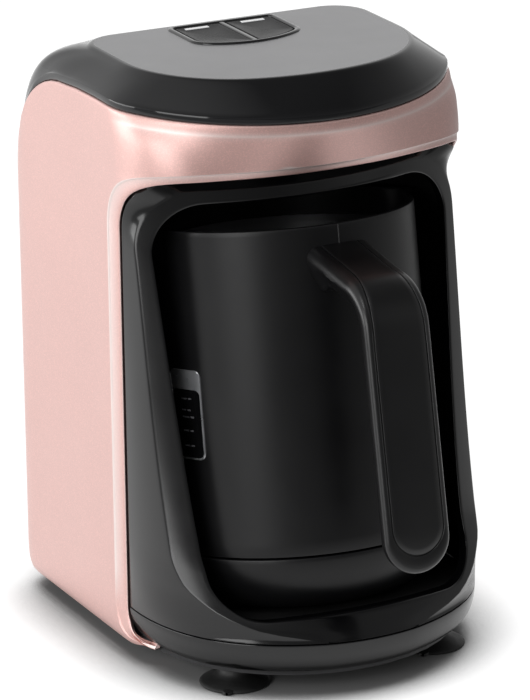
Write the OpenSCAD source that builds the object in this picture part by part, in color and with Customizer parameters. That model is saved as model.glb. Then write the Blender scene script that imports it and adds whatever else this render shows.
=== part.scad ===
// Electric coffee pot maker: a leaning pot stands in the niche of an upright housing.
// Housing frame: x to the right, y to the back with 0 at the joint between the painted
// side and the front frame, z up from the surface that the feet stand on.
// Pot frame: z along the pot's own axis with 0 at the rim, -y towards the handle.

/* [Housing] */
// Room between the niche and the painted side
side_room = 5.5; // [4.5:0.5:9]
// Depth of the compartment behind the niche
rear_room = 36.2; // [34:0.2:44]
// Radius of the upright corners at the back
back_corner = 18; // [14:0.5:20]
// Wall of every moulded housing part
wall = 2.5; // [2.2:0.1:2.8]
// Height of the front frame's brow between the niche opening and the painted band
brow_h = 14.2; // [13:0.2:17]
// Height of the painted band at the front
band_h = 23.8; // [22:0.2:27]
// Reach of the painted band in front of the side joint
band_reach = 52.5; // [50:0.5:56]
// Height of the cap above the band
cap_h = 16.7; // [15:0.1:19]
// Height of the upright lip at the cap's foot
cap_lip = 3.5; // [3:0.5:5]
// Drop of the cap's back edge below the flat top
cap_drop = 72.2; // [70:0.2:76]
// Height of the lower edge of the painted shell
shell_z = 8; // [7.5:0.5:8.5]

/* [Front frame and base] */
// Reach of the base in front of the side joint
base_reach = 84.4; // [80:0.2:92]
// Height of the seam between front frame and base ring
seam_z = 26; // [24:0.5:27]
// Height of the base ring's lower edge
base_z = 11; // [10.5:0.5:11.5]
// How far the base ring turns in at its lower edge
base_turn = 8; // [6:0.5:9]
// Gap between the pot and each side of the niche opening at its foot
mouth_gap = 1.2; // [1:0.1:2]
// Height of the niche opening's upper edge above the pot's rim
mouth_room = 16.2; // [15.6:0.2:17]
// Radius of the opening's lower corners
mouth_low_corner = 20; // [16:0.5:20]
// Radius of the opening's upper corners
mouth_high_corner = 19; // [12:0.5:19]
// Height of the foot plate's underside
plate_z = 9; // [8.5:0.5:9]

/* [Feet] */
// Distance of a foot's middle from the painted side
foot_inset = 32.4; // [28:0.2:40]
// Place of the front feet
foot_front_y = -42.5; // [-46:0.5:-38]
// Distance of the rear feet in front of the back face
foot_back = 33; // [28:1:40]
// Radius of a foot's pad
foot_r = 15.5; // [13:0.5:17]

/* [Pot] */
// Lean of the pot towards the back
lean = 8.65; // [8.2:0.05:9.2]
// Place where the pot's axis meets the niche floor
floor_y = -16.4; // [-17:0.2:-15]
// Height of the niche floor at that place
floor_mid = 27.4; // [27:0.1:28.5]
// Radius of the pot at the rim
pot_r = 60; // [54:0.1:66]
// How much wider the pot is at the seam above its base
pot_flare = 0.8; // [0.4:0.1:1]
// Height of the pot
pot_h = 167; // [150:0.5:185]
// Height of the pot's base below the seam
pot_base_h = 25.4; // [23:0.2:28]
// How far the base turns in towards its flat underside
pot_base_turn = 18.8; // [17:0.2:21]
// Wall of the pot's outer shell and base
pot_wall = 2.5; // [2.2:0.1:2.8]
// Length of a pouring lip beyond the rim
spout_len = 6.5; // [5:0.5:7]
// Depth of a pouring lip below the rim
spout_drop = 34; // [28:1:38]
// Half breadth of a pouring lip at the rim
spout_half = 22; // [18:1:24]
// Depth of the cup's flange below the rim
cup_seat = 12; // [10:0.5:14]
// Gap between the metal cup and the pot's wall at the rim
cup_gap = 3.5; // [3:0.1:4]
// How much narrower the metal cup is at its floor
cup_taper = 5; // [3:0.5:7]
// Height of the cup's floor above the seam
heater_room = 15.6; // [14:0.2:20]
// Sheet thickness of the metal cup
cup_t = 1; // [0.8:0.1:1.2]

/* [Handle] */
// Width of the handle
grip_w = 30; // [28:0.5:32]
// Thickness of the handle
grip_t = 15; // [14:0.5:16]
// Reach of the handle's corner from the pot's axis
grip_reach = 109; // [106:0.5:110]
// Height of the handle's top at the pot, below the rim
grip_drop = 8.5; // [8:0.5:10]
// Fall of the handle's top arm
grip_fall = 16; // [12:0.5:18]
// Outward slant of the hanging part
grip_slant = 2.6; // [1:0.2:3]
// Outer bend radius of the handle
grip_bend = 24; // [20:0.5:26]
// Depth of the handle's free end below the rim
grip_end = 143; // [138:0.5:144]
// Width of the inlay let into the handle
inlay_w = 22; // [18:0.5:22]
// Thickness of the inlay
inlay_t = 1.6; // [1.2:0.1:2]

/* [Gauge] */
// Depth of the gauge plate's top below the rim
gauge_top = 60; // [54:1:62]
// Height of the gauge plate
gauge_h = 39; // [34:1:42]
// Turn of the gauge plate's middle from the handle to the left
gauge_turn = 73; // [66:1:80]
// Angle across the gauge plate
gauge_span = 18; // [14:1:20]
// Thickness of the gauge plate
gauge_t = 0.6; // [0.4:0.1:0.8]

/* [Niche] */
// Gap between the rim and the niche's wall
niche_gap = 10; // [9:0.5:12]
// Wall of the niche liner
niche_wall = 2; // [1.6:0.1:2.2]
// Height of the niche's ceiling above the rim
head_room = 12; // [11:0.5:12.5]
// Thickness of the niche's floor and ceiling
deck_t = 3; // [2.5:0.5:3.5]
// Gap between the standing pot and the niche's floor
seat_gap = 0.3; // [0.3:0.1:0.5]

/* [Connector] */
// Height of the contacts above the pot's underside
plug_z = 13; // [12.5:0.5:13.5]
// Distance between neighbouring contacts
pin_pitch = 10; // [9:0.5:11]
// Radius of a contact pin
pin_r = 2; // [1.5:0.1:2.2]
// Length of a contact pin in front of its block
pin_reach = 9; // [7:0.5:10]

/* [Buttons] */
// Half width of the button field
field_x = 26; // [24:0.5:28]
// Back edge of the button field
field_back = 62; // [60:0.5:62]
// Front edge of the button field
field_front = 23; // [21:0.5:26]
// Radius of the button field's front edge
field_r = 40; // [34:1:60]
// Width of the frame around the buttons
field_rim = 2.4; // [2:0.1:3]
// Height of the frame above the flat top
field_proud = 0.8; // [0.5:0.1:1.2]
// Gap around each button
button_gap = 0.4; // [0.3:0.05:0.5]
// Thickness of a button
button_t = 6; // [5:0.5:6]
// Travel of a button
travel = 1.5; // [1:0.1:1.6]
// Width of the bar between the buttons
divider = 2.4; // [1.8:0.1:3]

/* [Electronics] */
// Drop of the control board's underside below the flat top
board_drop = 20.7; // [20:0.1:22]
// Thickness of the circuit boards
board_t = 1.6; // [1.2:0.1:1.8]
// Distance of the power board in front of the back face
power_gap = 20; // [19:0.5:21]
// Radius of a screw's shank
screw_r = 1.5; // [1.3:0.1:1.6]
// Radius of the cord outlet's bore
cord_r = 3.6; // [3.2:0.1:4]

/* [Hidden] */
$fn = 96;
cut = 400;

// the pot stands on the niche's floor, and the housing is built around it
floor_z = -pot_h - seat_gap;
pot_y = floor_y - floor_z * sin(lean);
pot_z = floor_mid - floor_z * cos(lean);
pot_seam = pot_h - pot_base_h;
pot_seam_r = pot_r + pot_flare;
pot_foot_r = pot_seam_r - pot_base_turn;
spout_reach = pot_r + spout_len;
cup_r = pot_r - pot_wall - cup_gap;
cup_foot_r = cup_r - cup_taper;
cup_floor = pot_seam - heater_room;
niche_r = pot_r + niche_gap;
niche_out = niche_r + niche_wall;
half_w = niche_out + side_room + wall;
back_y = pot_y + niche_out + rear_room;
mouth_foot = pot_seam_r + mouth_gap;
mouth_top = pot_z + mouth_room;
band_z = mouth_top + brow_h;
rim_z = band_z + band_h;
top_z = rim_z + cap_h;
cap_foot = rim_z + cap_lip;
rear_joint_z = top_z - cap_drop;
// height of the niche's floor at a place in front of or behind its middle
function floor_height(y) = floor_mid + (floor_y - y) * tan(lean);

// looseness of static parts that pass through each other
slip = 0.05;
// looseness between the housing's parts that only lie near each other
near = 0.4;

// steps of the front arc, the corner arc and the back corner of an outline
front_steps = 8;
corner_steps = 9;
back_steps = 5;

// the back above the joint is an ellipse that ends in the flat top
hood_y = back_y - 63;
hood_z = top_z - 67.7;
function hood(z) =
    hood_y + (back_y - hood_y) * sqrt(max(0, 1 - pow(max(0, z - hood_z) / (top_z - hood_z), 2)));

// the handle's line in the pot frame, as distance from the axis and height
grip_turn = 90 - grip_fall - grip_slant;
grip_corner_z = -grip_drop - (grip_reach - pot_r) * tan(grip_fall);
grip_bend_y = grip_reach - grip_bend * (tan(grip_turn / 2) * cos(grip_fall) + sin(grip_fall));
grip_bend_z = grip_corner_z + grip_bend * (tan(grip_turn / 2) * sin(grip_fall) - cos(grip_fall));
grip_round_z = -grip_end + grip_t / 2;
function grip_y(t, z) = grip_reach + (grip_corner_z - z) * tan(grip_slant) - t / cos(grip_slant);
front_y = pot_y - grip_y(grip_t / 2, grip_round_z) * cos(lean) + grip_round_z * sin(lean) - grip_t / 2;
frame_y = -(back_y + front_y) / 2;

// ------------------------------------------------------------------ helpers

function arc_pts(cx, cy, r, a0, a1, n) =
    [for (i = [0:n]) [cx + r * cos(a0 + (a1 - a0) * i / n), cy + r * sin(a0 + (a1 - a0) * i / n)]];
function tail(list) = [for (i = [1:len(list) - 1]) list[i]];
function mirrored(list, last) = [for (i = [len(list) - 1:-1:last]) [-list[i][0], list[i][1]]];

// Outline with half width w, reach f of the front arc of radius r, corner arcs of
// radius c that run into it, and a back face at b with corners of radius q.
function plan(w, f, r, c, b, q) =
    let (
        mid = r - f,
        side = mid - sqrt(pow(r - c, 2) - pow(w - c, 2)),
        a = atan2(side - mid, w - c),
        half = concat(
            arc_pts(0, mid, r, -90, a, front_steps),
            tail(arc_pts(w - c, side, c, a, 0, corner_steps)),
            arc_pts(w - q, b - q, q, 0, 90, back_steps)
        )
    )
    concat(half, mirrored(half, 1));

// A level is [z, w, f, r, c, b, q]; t shrinks its outline on all sides.
function ring(l, t) =
    [for (p = plan(l[1] - t, l[2] - t, l[3] - t, l[4] - t, l[5] - t, l[6] - t)) [p[0], p[1], l[0]]];

// Solid through sections that have the same number of points; over lengthens both ends.
module loft(rings, over) {
    n = len(rings[0]);
    m = len(rings);
    low = [for (p = rings[0]) p - [0, 0, over]];
    high = [for (p = rings[m - 1]) p + [0, 0, over]];
    walls = [for (i = [0:m], j = [0:n - 1])
        let (a = i * n + j, b = i * n + (j + 1) % n)
        each [[a, a + n, b + n], [a, b + n, b]]];
    simple = [for (i = [0:m - 2], j = [0:n - 1])
        let (a = i * n + j, b = i * n + (j + 1) % n)
        each [[a, a + n, b + n], [a, b + n, b]]];
    if (over > 0)
        polyhedron(
            points = concat(low, [for (r = rings) each r], high),
            faces = concat(walls, [[for (j = [0:n - 1]) j]], [[for (j = [n - 1:-1:0]) (m + 1) * n + j]]),
            convexity = 8
        );
    else
        polyhedron(
            points = [for (r = rings) each r],
            faces = concat(simple, [[for (j = [0:n - 1]) j]], [[for (j = [n - 1:-1:0]) (m - 1) * n + j]]),
            convexity = 8
        );
}

module placed() translate([0, frame_y, 0]) children();
module leaned() translate([0, pot_y, pot_z]) rotate([-lean, 0, 0]) children();
module in_pot() placed() leaned() children();
// Extrudes a side view, drawn as [y, z], from x0 to x1.
module across(x0, x1) translate([x0, 0, 0]) rotate([90, 0, 90]) linear_extrude(x1 - x0) children();
// Extrudes a front view, drawn as [x, z], from y0 to y1.
module along(y0, y1) translate([0, y1, 0]) rotate([90, 0, 0]) linear_extrude(y1 - y0) children();
module box(a, b) translate(a) cube(b - a);
module both() {
    children();
    mirror([1, 0, 0]) children();
}
module at_each(places) for (p = places) translate(p) children();
// Screw along z whose head lies under the origin and whose shank stands on it.
module screw(shank, head_r, head_t) {
    translate([0, 0, -head_t]) cylinder(r = head_r, h = head_t);
    translate([0, 0, -head_t / 2]) cylinder(r = screw_r, h = shank + head_t / 2);
}

// ------------------------------------------------------------------ forms

side_turn_z = rear_joint_z + 5.5;
side_turn_y = 40;

// Painted shell: reach, front radius and corner radius by height.
upright_z = rear_joint_z - 3.5;
case_f = [[upright_z, 60], [band_z, band_reach - 9.3], [rim_z - 10, band_reach - 1.6], [rim_z, band_reach]];
case_r = [[upright_z, 40], [band_z, 110], [rim_z - 10, 30], [rim_z, 8]];
case_c = [[upright_z, 40], [band_z, 42], [rim_z, 44]];
function case_turn(z) = lookup(z, [[shell_z, 4], [shell_z + 2, 1.6], [shell_z + 6, 0.4], [shell_z + 12, 0]]);
function case_level(z) =
    let (i = case_turn(z))
    [z, half_w - i, lookup(z, case_f), half_w + lookup(z, case_r), half_w - lookup(z, case_c),
        hood(z) - i, back_corner];
case_zs = [
    shell_z, shell_z + 2, shell_z + 6, shell_z + 12, upright_z, hood_z, hood_z + 10, hood_z + 19,
    band_z, rim_z - 17, rim_z - 10, rim_z, rim_z + 9
];
module case_form(t) loft([for (z = case_zs) ring(case_level(z), t)], t > 0 ? 1 : 0);

// Side view of what lies under the joint between shell and cap.
module under_cap(x0, x1) across(x0, x1) {
    drop_r = rim_z + 1.5 - rear_joint_z;
    polygon(concat(
        [[-cut, 0], [-cut, rim_z], [-band_reach, rim_z], [-10, rim_z + 2.3], [20, rim_z + 3]],
        arc_pts(back_y - 65, rear_joint_z, drop_r, 90, 0, 14),
        [[cut, rear_joint_z], [cut, 0]]
    ));
}

// Side view of what lies in front of the painted side and under the band.
module under_band(x0, x1) across(x0, x1)
    polygon(concat(
        [[-cut, 0], [0, 0]],
        [for (a = [0:7.5:90])
            [side_turn_y * (cos(a) - 1), side_turn_z + (band_z - side_turn_z) * sin(a)]],
        [[-cut, band_z]]
    ));

// Cap: upright lip, sloped bevel and flat top, with the hood curving down behind.
bevel_w = 13.6;
bevel_f = 17.1;
flat_back = field_back + 2.4;
function cap_levels(t) = concat(
    [for (z = [hood_z - 8, hood_z, hood_z + 10, hood_z + 20, hood_z + 30, hood_z + 40, rim_z - 3, cap_foot])
        [z, half_w, band_reach, half_w + 8, half_w - 44, hood(z), back_corner]],
    [
        [cap_foot + 0.8, half_w - 1, band_reach - 1, half_w + 7, half_w - 44, hood(cap_foot + 0.8), back_corner],
        [top_z - 1.5 - t, half_w - bevel_w + 1.2, band_reach - bevel_f + 1.5, half_w + 25, half_w - 25,
            hood(top_z - 1.5), back_corner],
        [top_z - t, half_w - bevel_w - 0.6, band_reach - bevel_f - 0.6, half_w + 25, half_w - 25,
            flat_back, back_corner]
    ]
);
module cap_form(t) loft([for (l = cap_levels(t)) ring(l, t)], 0);

// Front frame section: reach f, outer edge at (xe, ye), bow of the side behind the edge.
fascia_w = half_w - near;
fascia_top = band_z - 1.2;
fascia_levels = [
    [seam_z, base_reach, half_w - 60, base_reach - 2.4, 19],
    [seam_z + 6, base_reach - 4.6, half_w - 32, base_reach - 15.4, 10],
    [seam_z + 14, base_reach - 10.6, half_w - 16, base_reach - 30.4, 5],
    [seam_z + 24, base_reach - 17.6, half_w - 8, base_reach - 42.4, 2.2],
    [seam_z + 35, base_reach - 23.4, half_w - 6, base_reach - 49.1, 1.2],
    [fascia_top - 22, base_reach - 51.4, half_w - 3.3, base_reach - 75.4, 0.4],
    [fascia_top, base_reach - 56, half_w - 2.9, base_reach - 79.6, 0.3]
];
function fascia_level(z) =
    concat([z], [for (i = [1:4]) lookup(z, [for (l = fascia_levels) [l[0], l[i]]])]);
// The section as [f, xe, ye, r] after an inset t.
function fascia_cut(l, t) =
    let (f = l[1] - t, xe = l[2] - t * min(1, l[2] / 60), ye = l[3] - t, s = f - ye)
    [f, xe, ye, (xe * xe + s * s) / (2 * s)];
function fascia_ring(l, t, d) =
    let (
        k = fascia_cut(l, t),
        w = fascia_w - t,
        a = asin(k[1] / k[3]),
        n = norm([w - k[1], k[2]]),
        half = concat(
            [for (i = [0:8]) [k[3] * sin(a * i / 8), k[3] - k[0] - k[3] * cos(a * i / 8)]],
            [for (i = [1:7]) let (m = i / 7, bow = 4 * m * (1 - m) * l[4])
                [k[1] + (w - k[1]) * m + bow * k[2] / n, -k[2] + k[2] * m - bow * (w - k[1]) / n]],
            d > 0 ? [[w, d]] : []
        )
    )
    [for (p = concat(half, mirrored(half, 1))) [p[0], p[1], l[0]]];
module fascia_form(t, d) loft([for (l = fascia_levels) fascia_ring(l, t, d)], t > 0 ? 1 : 0);
// Inner face of the front frame at the distance x from the middle, for each level.
function fascia_inner(x) = [for (l = fascia_levels)
    let (k = fascia_cut(l, wall), w = fascia_w - wall)
    [x < k[1] ? k[3] - k[0] - sqrt(k[3] * k[3] - x * x) : -k[2] * (w - x) / (w - k[1]), l[0]]];

// Base: turns in towards its lower edge.
base_steps = [[0, 1], [0.13, 0.56], [0.33, 0.25], [0.6, 0.07], [1, 0]];
module base_form(t) loft([for (k = base_steps)
    let (i = base_turn * k[1])
    ring([base_z + (seam_z - base_z) * k[0], half_w - i, base_reach - i, half_w + 12.5 - i,
        half_w - 2 - i, 6, 3.2], t)],
    t > 0 ? 1 : 0);

// Side view of the painted toe that wraps under the base's front corners.
toe = 34;
module under_toe(x0, x1) across(x0, x1)
    polygon(concat(
        [for (a = [0:10:90]) [toe * (cos(a) - 1), seam_z - (seam_z - base_z) * sin(a)]],
        [[-toe, 0], [1, 0], [1, seam_z]]
    ));

// ------------------------------------------------------------------ housing parts

gap_x = half_w - back_corner;
flange_y = back_y - wall;
rear_screw_places = [for (x = [-1, 1], z = [shell_z + 20, rear_joint_z - 18]) [x * (gap_x - 6), back_y, z]];
plate_screw_x = half_w - 14;
plate_screw_places = [for (x = [-1, 1], y = [24, back_y - 29]) [x * plate_screw_x, y, plate_z]];
plate_t = base_z - plate_z;
boss_top = base_z + 6;

module outer_shell() color([0.86, 0.69, 0.67]) placed() {
    difference() {
        intersection() {
            difference() {
                case_form(0);
                case_form(wall);
            }
            under_cap(-cut, cut);
        }
        under_band(-cut, cut);
        box([-gap_x, back_y - back_corner, 0], [gap_x, back_y + 5, 300]);
    }
    intersection() {
        difference() {
            base_form(0);
            base_form(wall);
            box([-cut, 0, 0], [cut, cut, cut]);
        }
        under_toe(-cut, cut);
    }
    both() difference() {
        union() {
            box([gap_x - 12, flange_y - 4, shell_z + 14], [gap_x + 6, flange_y, rear_joint_z - 8]);
            for (p = plate_screw_places) translate([plate_screw_x, p[1], base_z]) {
                cylinder(r = 4.4, h = boss_top - base_z);
                box([0, -1.2, 0], [half_w - wall - plate_screw_x + 0.8, 1.2, boss_top - base_z]);
            }
        }
        at_each(rear_screw_places) rotate([90, 0, 0]) cylinder(r = screw_r + slip, h = 12);
        at_each(plate_screw_places) cylinder(r = screw_r + slip, h = 9);
    }
}

board_z = top_z - board_drop;
board_top = board_z + board_t;
board_posts = [for (x = [-1, 1], y = [field_front - 5, field_back - 4]) [x * (field_x + 6), y, board_top]];
module field_shape(t) polygon(plan(field_x - t, -field_front - t, field_r - t, 9 - t, field_back - t, 4 - t));

module top_cap() color([0.09, 0.09, 0.1]) placed() {
    difference() {
        cap_form(0);
        cap_form(wall);
        under_cap(-cut, cut);
        translate([0, 0, top_z - 6]) linear_extrude(10) field_shape(0);
    }
    both() box([half_w - wall - 2.4, 12, rim_z - 7], [half_w - wall - 0.3, 44, cap_foot + 2]);
    difference() {
        at_each(board_posts) cylinder(r = 3, h = top_z - wall / 2 - board_top);
        at_each(board_posts) translate([0, 0, -1]) cylinder(r = screw_r + slip, h = 8);
    }
}

power_y = back_y - power_gap;
power_z = [40, 150];
power_x = 46;
power_posts = [for (x = [-1, 1], z = [power_z[0] + 8, power_z[1] - 8]) [x * (power_x - 6), power_y, z]];
gland_z = shell_z + 26;

module rear_cover() color([0.1, 0.1, 0.11]) placed() difference() {
    union() {
        intersection() {
            difference() {
                case_form(0);
                case_form(wall);
            }
            box([-gap_x, back_y - back_corner, 0], [gap_x, back_y + 5, rear_joint_z]);
        }
        at_each(power_posts) rotate([-90, 0, 0]) cylinder(r = 3, h = power_gap - wall / 2);
    }
    at_each(power_posts) translate([0, -1, 0]) rotate([-90, 0, 0]) cylinder(r = screw_r + slip, h = 9);
    at_each(rear_screw_places) translate([0, 1, 0]) rotate([90, 0, 0]) {
        cylinder(r = screw_r + slip, h = 12);
        cylinder(r = 3 + slip, h = 2.2);
    }
    translate([0, power_y, gland_z]) rotate([-90, 0, 0]) cylinder(r = 6 + slip, h = 40);
}

module mouth_shape() {
    c = mouth_high_corner;
    half = concat([[mouth_foot, seam_z + 24]], arc_pts(niche_r - c, mouth_top - c, c, 0, 90, 8));
    polygon(concat(half, mirrored(half, 0)));
}
// The opening's foot follows the niche's floor, along which the pot slides out.
module mouth_foot_shape() {
    c = mouth_low_corner;
    half = concat(arc_pts(mouth_foot - c, floor_z + c, c, -90, 0, 8), [[mouth_foot, floor_z + 40]]);
    polygon(concat(half, mirrored(half, 0)));
}

module front_fascia() color([0.08, 0.08, 0.09]) placed() difference() {
    union() {
        difference() {
            fascia_form(0, 0);
            fascia_form(wall, 10);
        }
        difference() {
            translate([0, 0, fascia_top - wall]) linear_extrude(wall)
                polygon(plan(half_w - wall - 0.8, band_reach - 9.3 - wall - 0.8, half_w + 106, half_w - 46, 6, 2));
            fascia_form(wall, 10);
            box([-cut, 0, 0], [cut, cut, cut]);
        }
        both() box([half_w - wall - 3.1, -4, seam_z + 6], [half_w - wall - 0.2, 8, side_turn_z - 6]);
    }
    along(-cut, cut) mouth_shape();
    leaned() along(-cut, 0) mouth_foot_shape();
    both() intersection() {
        box([half_w - wall - 1, -cut, side_turn_z - 1], [cut, cut, cut]);
        difference() {
            box([0, -cut, 0], [cut, cut, cut]);
            under_band(-1, cut + 1);
        }
    }
}

module base_ring() color([0.09, 0.09, 0.1]) placed() difference() {
    base_form(0);
    base_form(wall);
    box([-cut, 0, 0], [cut, cut, cut]);
    under_toe(-cut, cut);
}

foot_places = [for (x = [-1, 1], y = [foot_front_y, back_y - foot_back]) [x * (half_w - foot_inset), y, 0]];
floor_posts = [for (x = [-1, 1], y = [floor_y - 24, floor_y + 46]) [x * niche_r / 2, y, base_z - plate_t / 2]];

module foot_plate() color([0.13, 0.13, 0.14]) placed() difference() {
    inset = base_turn + 1;
    rear_inset = case_turn(plate_z) + wall + near;
    union() {
        translate([0, 0, plate_z]) linear_extrude(plate_t) {
            polygon(plan(half_w - inset, base_reach - inset, half_w + 12.5 - inset, half_w - 2 - inset,
                back_y - 8, 12));
            intersection() {
                polygon(plan(half_w - rear_inset, 60, half_w + 40, half_w - 40, back_y - rear_inset,
                    back_corner - rear_inset));
                translate([-cut / 2, 1.5]) square(cut);
            }
        }
        difference() {
            at_each(floor_posts) cylinder(r = 4, h = 40);
            leaned() box([-cut, -cut, floor_z - deck_t], [cut, cut, cut]);
        }
    }
    at_each(foot_places) cylinder(r = 2 + slip, h = 20);
    at_each(plate_screw_places) translate([0, 0, -1]) {
        cylinder(r = screw_r + slip, h = 9);
        cylinder(r = 3 + slip, h = 2.2);
    }
}

// ------------------------------------------------------------------ niche

module niche_plan(r) {
    circle(r = r);
    translate([-r, -base_reach - 10]) square([2 * r, base_reach + 10]);
}
// Side view behind whose front line the liner's side walls stay.
module behind_fascia() placed() across(-cut, cut) {
    edge = [for (p = fascia_inner(niche_out)) p + [near, 0]];
    polygon(concat([[edge[0][0], 0]], edge, [[edge[len(edge) - 1][0], cut], [cut, cut], [cut, 0]]));
}
// Upright prism inside the front frame at the height z.
module within_fascia(z) placed() linear_extrude(cut)
    polygon([for (p = fascia_ring(fascia_level(z), wall + near, back_y)) [p[0], p[1]]]);

module niche_liner() color([0.05, 0.05, 0.055]) intersection() {
    in_pot() difference() {
        translate([0, 0, floor_z]) linear_extrude(head_room - floor_z) difference() {
            niche_plan(niche_out);
            niche_plan(niche_r);
        }
        box([-nose_x - 0.5, 0, pin_z - nose_h - 0.5], [nose_x + 0.5, cut, pin_z + nose_h + 0.5]);
    }
    behind_fascia();
}

module niche_floor() color([0.07, 0.07, 0.075]) intersection() {
    in_pot() translate([0, 0, floor_z - deck_t]) linear_extrude(deck_t) niche_plan(niche_out);
    within_fascia(floor_height(10 - base_reach) + 0.6);
}

module niche_ceiling() color([0.07, 0.07, 0.075]) intersection() {
    in_pot() difference() {
        translate([0, 0, head_room]) linear_extrude(deck_t) niche_plan(niche_out);
        translate([0, 0, head_room - 1]) cylinder(r = 6 + slip, h = deck_t + 2);
    }
    within_fascia(mouth_top + 6);
}

module boil_sensor() color([0.2, 0.2, 0.22]) in_pot() {
    translate([0, 0, head_room - 1]) cylinder(r = 6, h = 15);
    translate([0, 0, head_room + deck_t]) cylinder(r = 9, h = 3);
}

// ------------------------------------------------------------------ connector

nose_y = pot_r - 4;
nose_x = 17;
nose_h = 6;
block_y = nose_y - 0.5;
block_x = nose_x + 1;
block_h = nose_h + 1;
socket_back = niche_out + 12;
pin_z = -pot_h + plug_z;
pin_places = [for (i = [-1:1]) [i * pin_pitch, 0, pin_z]];

module socket_block() color([0.12, 0.12, 0.12]) in_pot() difference() {
    union() {
        box([-nose_x, nose_y, pin_z - nose_h], [nose_x, socket_back, pin_z + nose_h]);
        box([-nose_x - 7, niche_out + near, pin_z - nose_h - 2.6], [nose_x + 7, niche_out + 4, pin_z + 12]);
    }
    at_each(pin_places) translate([0, socket_back + 1, 0]) rotate([90, 0, 0])
        cylinder(r = pin_r + slip, h = socket_back - nose_y + 2);
}

module contact_pins() color([0.8, 0.7, 0.4]) in_pot()
    at_each(pin_places) translate([0, socket_back + 4, 0]) rotate([90, 0, 0])
        cylinder(r = pin_r, h = socket_back + 4 - nose_y + pin_reach);

// ------------------------------------------------------------------ buttons

button_top = top_z + 0.3;
button_foot = button_top - button_t;
bar_x = 13.5;
bar_w = 11;
bar_y = field_back - field_rim - 4.4;
bar_t = 2;
switch_y = (field_front + field_back) / 2;
switch_h = 5;

module button_frame() color([0.08, 0.08, 0.09]) placed() {
    difference() {
        union() {
            translate([0, 0, top_z - wall - 4]) linear_extrude(wall + 4 + field_proud) field_shape(0);
            translate([0, 0, top_z - wall - 4]) linear_extrude(4 - slip) intersection() {
                field_shape(-2);
                translate([-cut / 2, field_back - 8 - cut]) square(cut);
            }
        }
        translate([0, 0, top_z - 20]) linear_extrude(40) field_shape(field_rim);
    }
    translate([0, 0, top_z - wall - 4]) linear_extrude(wall + 4 + 0.4) intersection() {
        field_shape(field_rim - 0.5);
        translate([-divider / 2, 0]) square([divider, 100]);
    }
}

// The button, bar and plunger are drawn on the right and mirrored to the left.
module button_form() placed() difference() {
    translate([0, 0, button_foot]) linear_extrude(button_t) intersection() {
        field_shape(field_rim + button_gap);
        translate([divider / 2 + button_gap, 0]) square([100, 100]);
    }
    translate([0, 0, button_foot - 1]) linear_extrude(button_t + 2) bar_shape();
}
module bar_shape() translate([bar_x - bar_w / 2, bar_y]) square([bar_w, bar_t]);
module bar_form() placed() translate([0, 0, button_foot + 1]) linear_extrude(button_t - 1) bar_shape();
plunger_h = button_foot - board_top - switch_h - travel - 0.1;
module plunger_form() placed() translate([bar_x, switch_y, button_foot - plunger_h]) {
    cylinder(r = 2, h = plunger_h);
    translate([0, 0, plunger_h - 2]) cylinder(r = 5, h = 2);
}

module left_button() color([0.06, 0.06, 0.07]) mirror([1, 0, 0]) button_form();
module right_button() color([0.06, 0.06, 0.07]) button_form();
module left_light_bar() color([0.95, 0.95, 0.95]) mirror([1, 0, 0]) bar_form();
module right_light_bar() color([0.95, 0.95, 0.95]) bar_form();
module left_plunger() color([0.85, 0.85, 0.82]) mirror([1, 0, 0]) plunger_form();
module right_plunger() color([0.85, 0.85, 0.82]) plunger_form();

// ------------------------------------------------------------------ electronics

module control_board() color([0.1, 0.35, 0.2]) placed() difference() {
    box([-field_x - 11, field_front - 10, board_z], [field_x + 11, field_back + 1, board_top]);
    at_each(board_posts) translate([0, 0, -5]) cylinder(r = screw_r + slip, h = 9);
}

module tact_switches() color([0.15, 0.15, 0.15]) placed() both() translate([bar_x, switch_y, board_top]) {
    box([-3, -3, 0], [3, 3, switch_h - 1.4]);
    cylinder(r = 1.7, h = switch_h);
}

module indicator_leds() color([0.95, 0.95, 0.85]) placed() both()
    translate([bar_x - 2.5, bar_y - 0.5, board_top]) cube([5, 3, 3]);

module buzzer() color([0.1, 0.1, 0.1]) placed()
    translate([0, field_front + 1, board_top]) cylinder(r = 5.5, h = 6);

module board_screws() color([0.7, 0.7, 0.72]) placed() {
    at_each(board_posts) translate([0, 0, -board_t]) screw(8, 2.8, 1.6);
    at_each(power_posts) translate([0, -board_t, 0]) rotate([-90, 0, 0]) screw(8, 2.8, 1.6);
}

module power_board() color([0.1, 0.35, 0.2]) placed() difference() {
    box([-power_x, power_y - board_t, power_z[0]], [power_x, power_y, power_z[1]]);
    at_each(power_posts) translate([0, -5, 0]) rotate([-90, 0, 0]) cylinder(r = screw_r + slip, h = 9);
}

part_depth = power_gap - wall - 2.5;
part_z = power_z[0] + 60;
module mains_relay() color([0.15, 0.25, 0.5]) placed()
    box([-26, power_y, part_z], [-6, power_y + part_depth, part_z + 28]);

module filter_capacitor() color([0.2, 0.2, 0.22]) placed()
    translate([14, power_y, part_z + 12]) rotate([-90, 0, 0]) cylinder(r = 8, h = part_depth);

loom_y = power_y - board_t - 5;
loom_z = power_z[0] + 20;
loom_turn_z = board_z - 6;
loom_end_y = field_back - 8;
module wiring_loom() color([0.75, 0.75, 0.78]) placed() for (i = [-1:1]) translate([i * 3 - 14, 0, 0]) {
    translate([0, loom_y, loom_z]) cylinder(r = 1.1, h = loom_turn_z - loom_z);
    translate([0, loom_y, loom_z]) rotate([-90, 0, 0]) cylinder(r = 1.1, h = 5);
    translate([0, loom_end_y, loom_turn_z]) rotate([-90, 0, 0]) cylinder(r = 1.1, h = loom_y - loom_end_y);
    translate([0, loom_end_y, loom_turn_z]) cylinder(r = 1.1, h = board_z - loom_turn_z);
}

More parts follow.
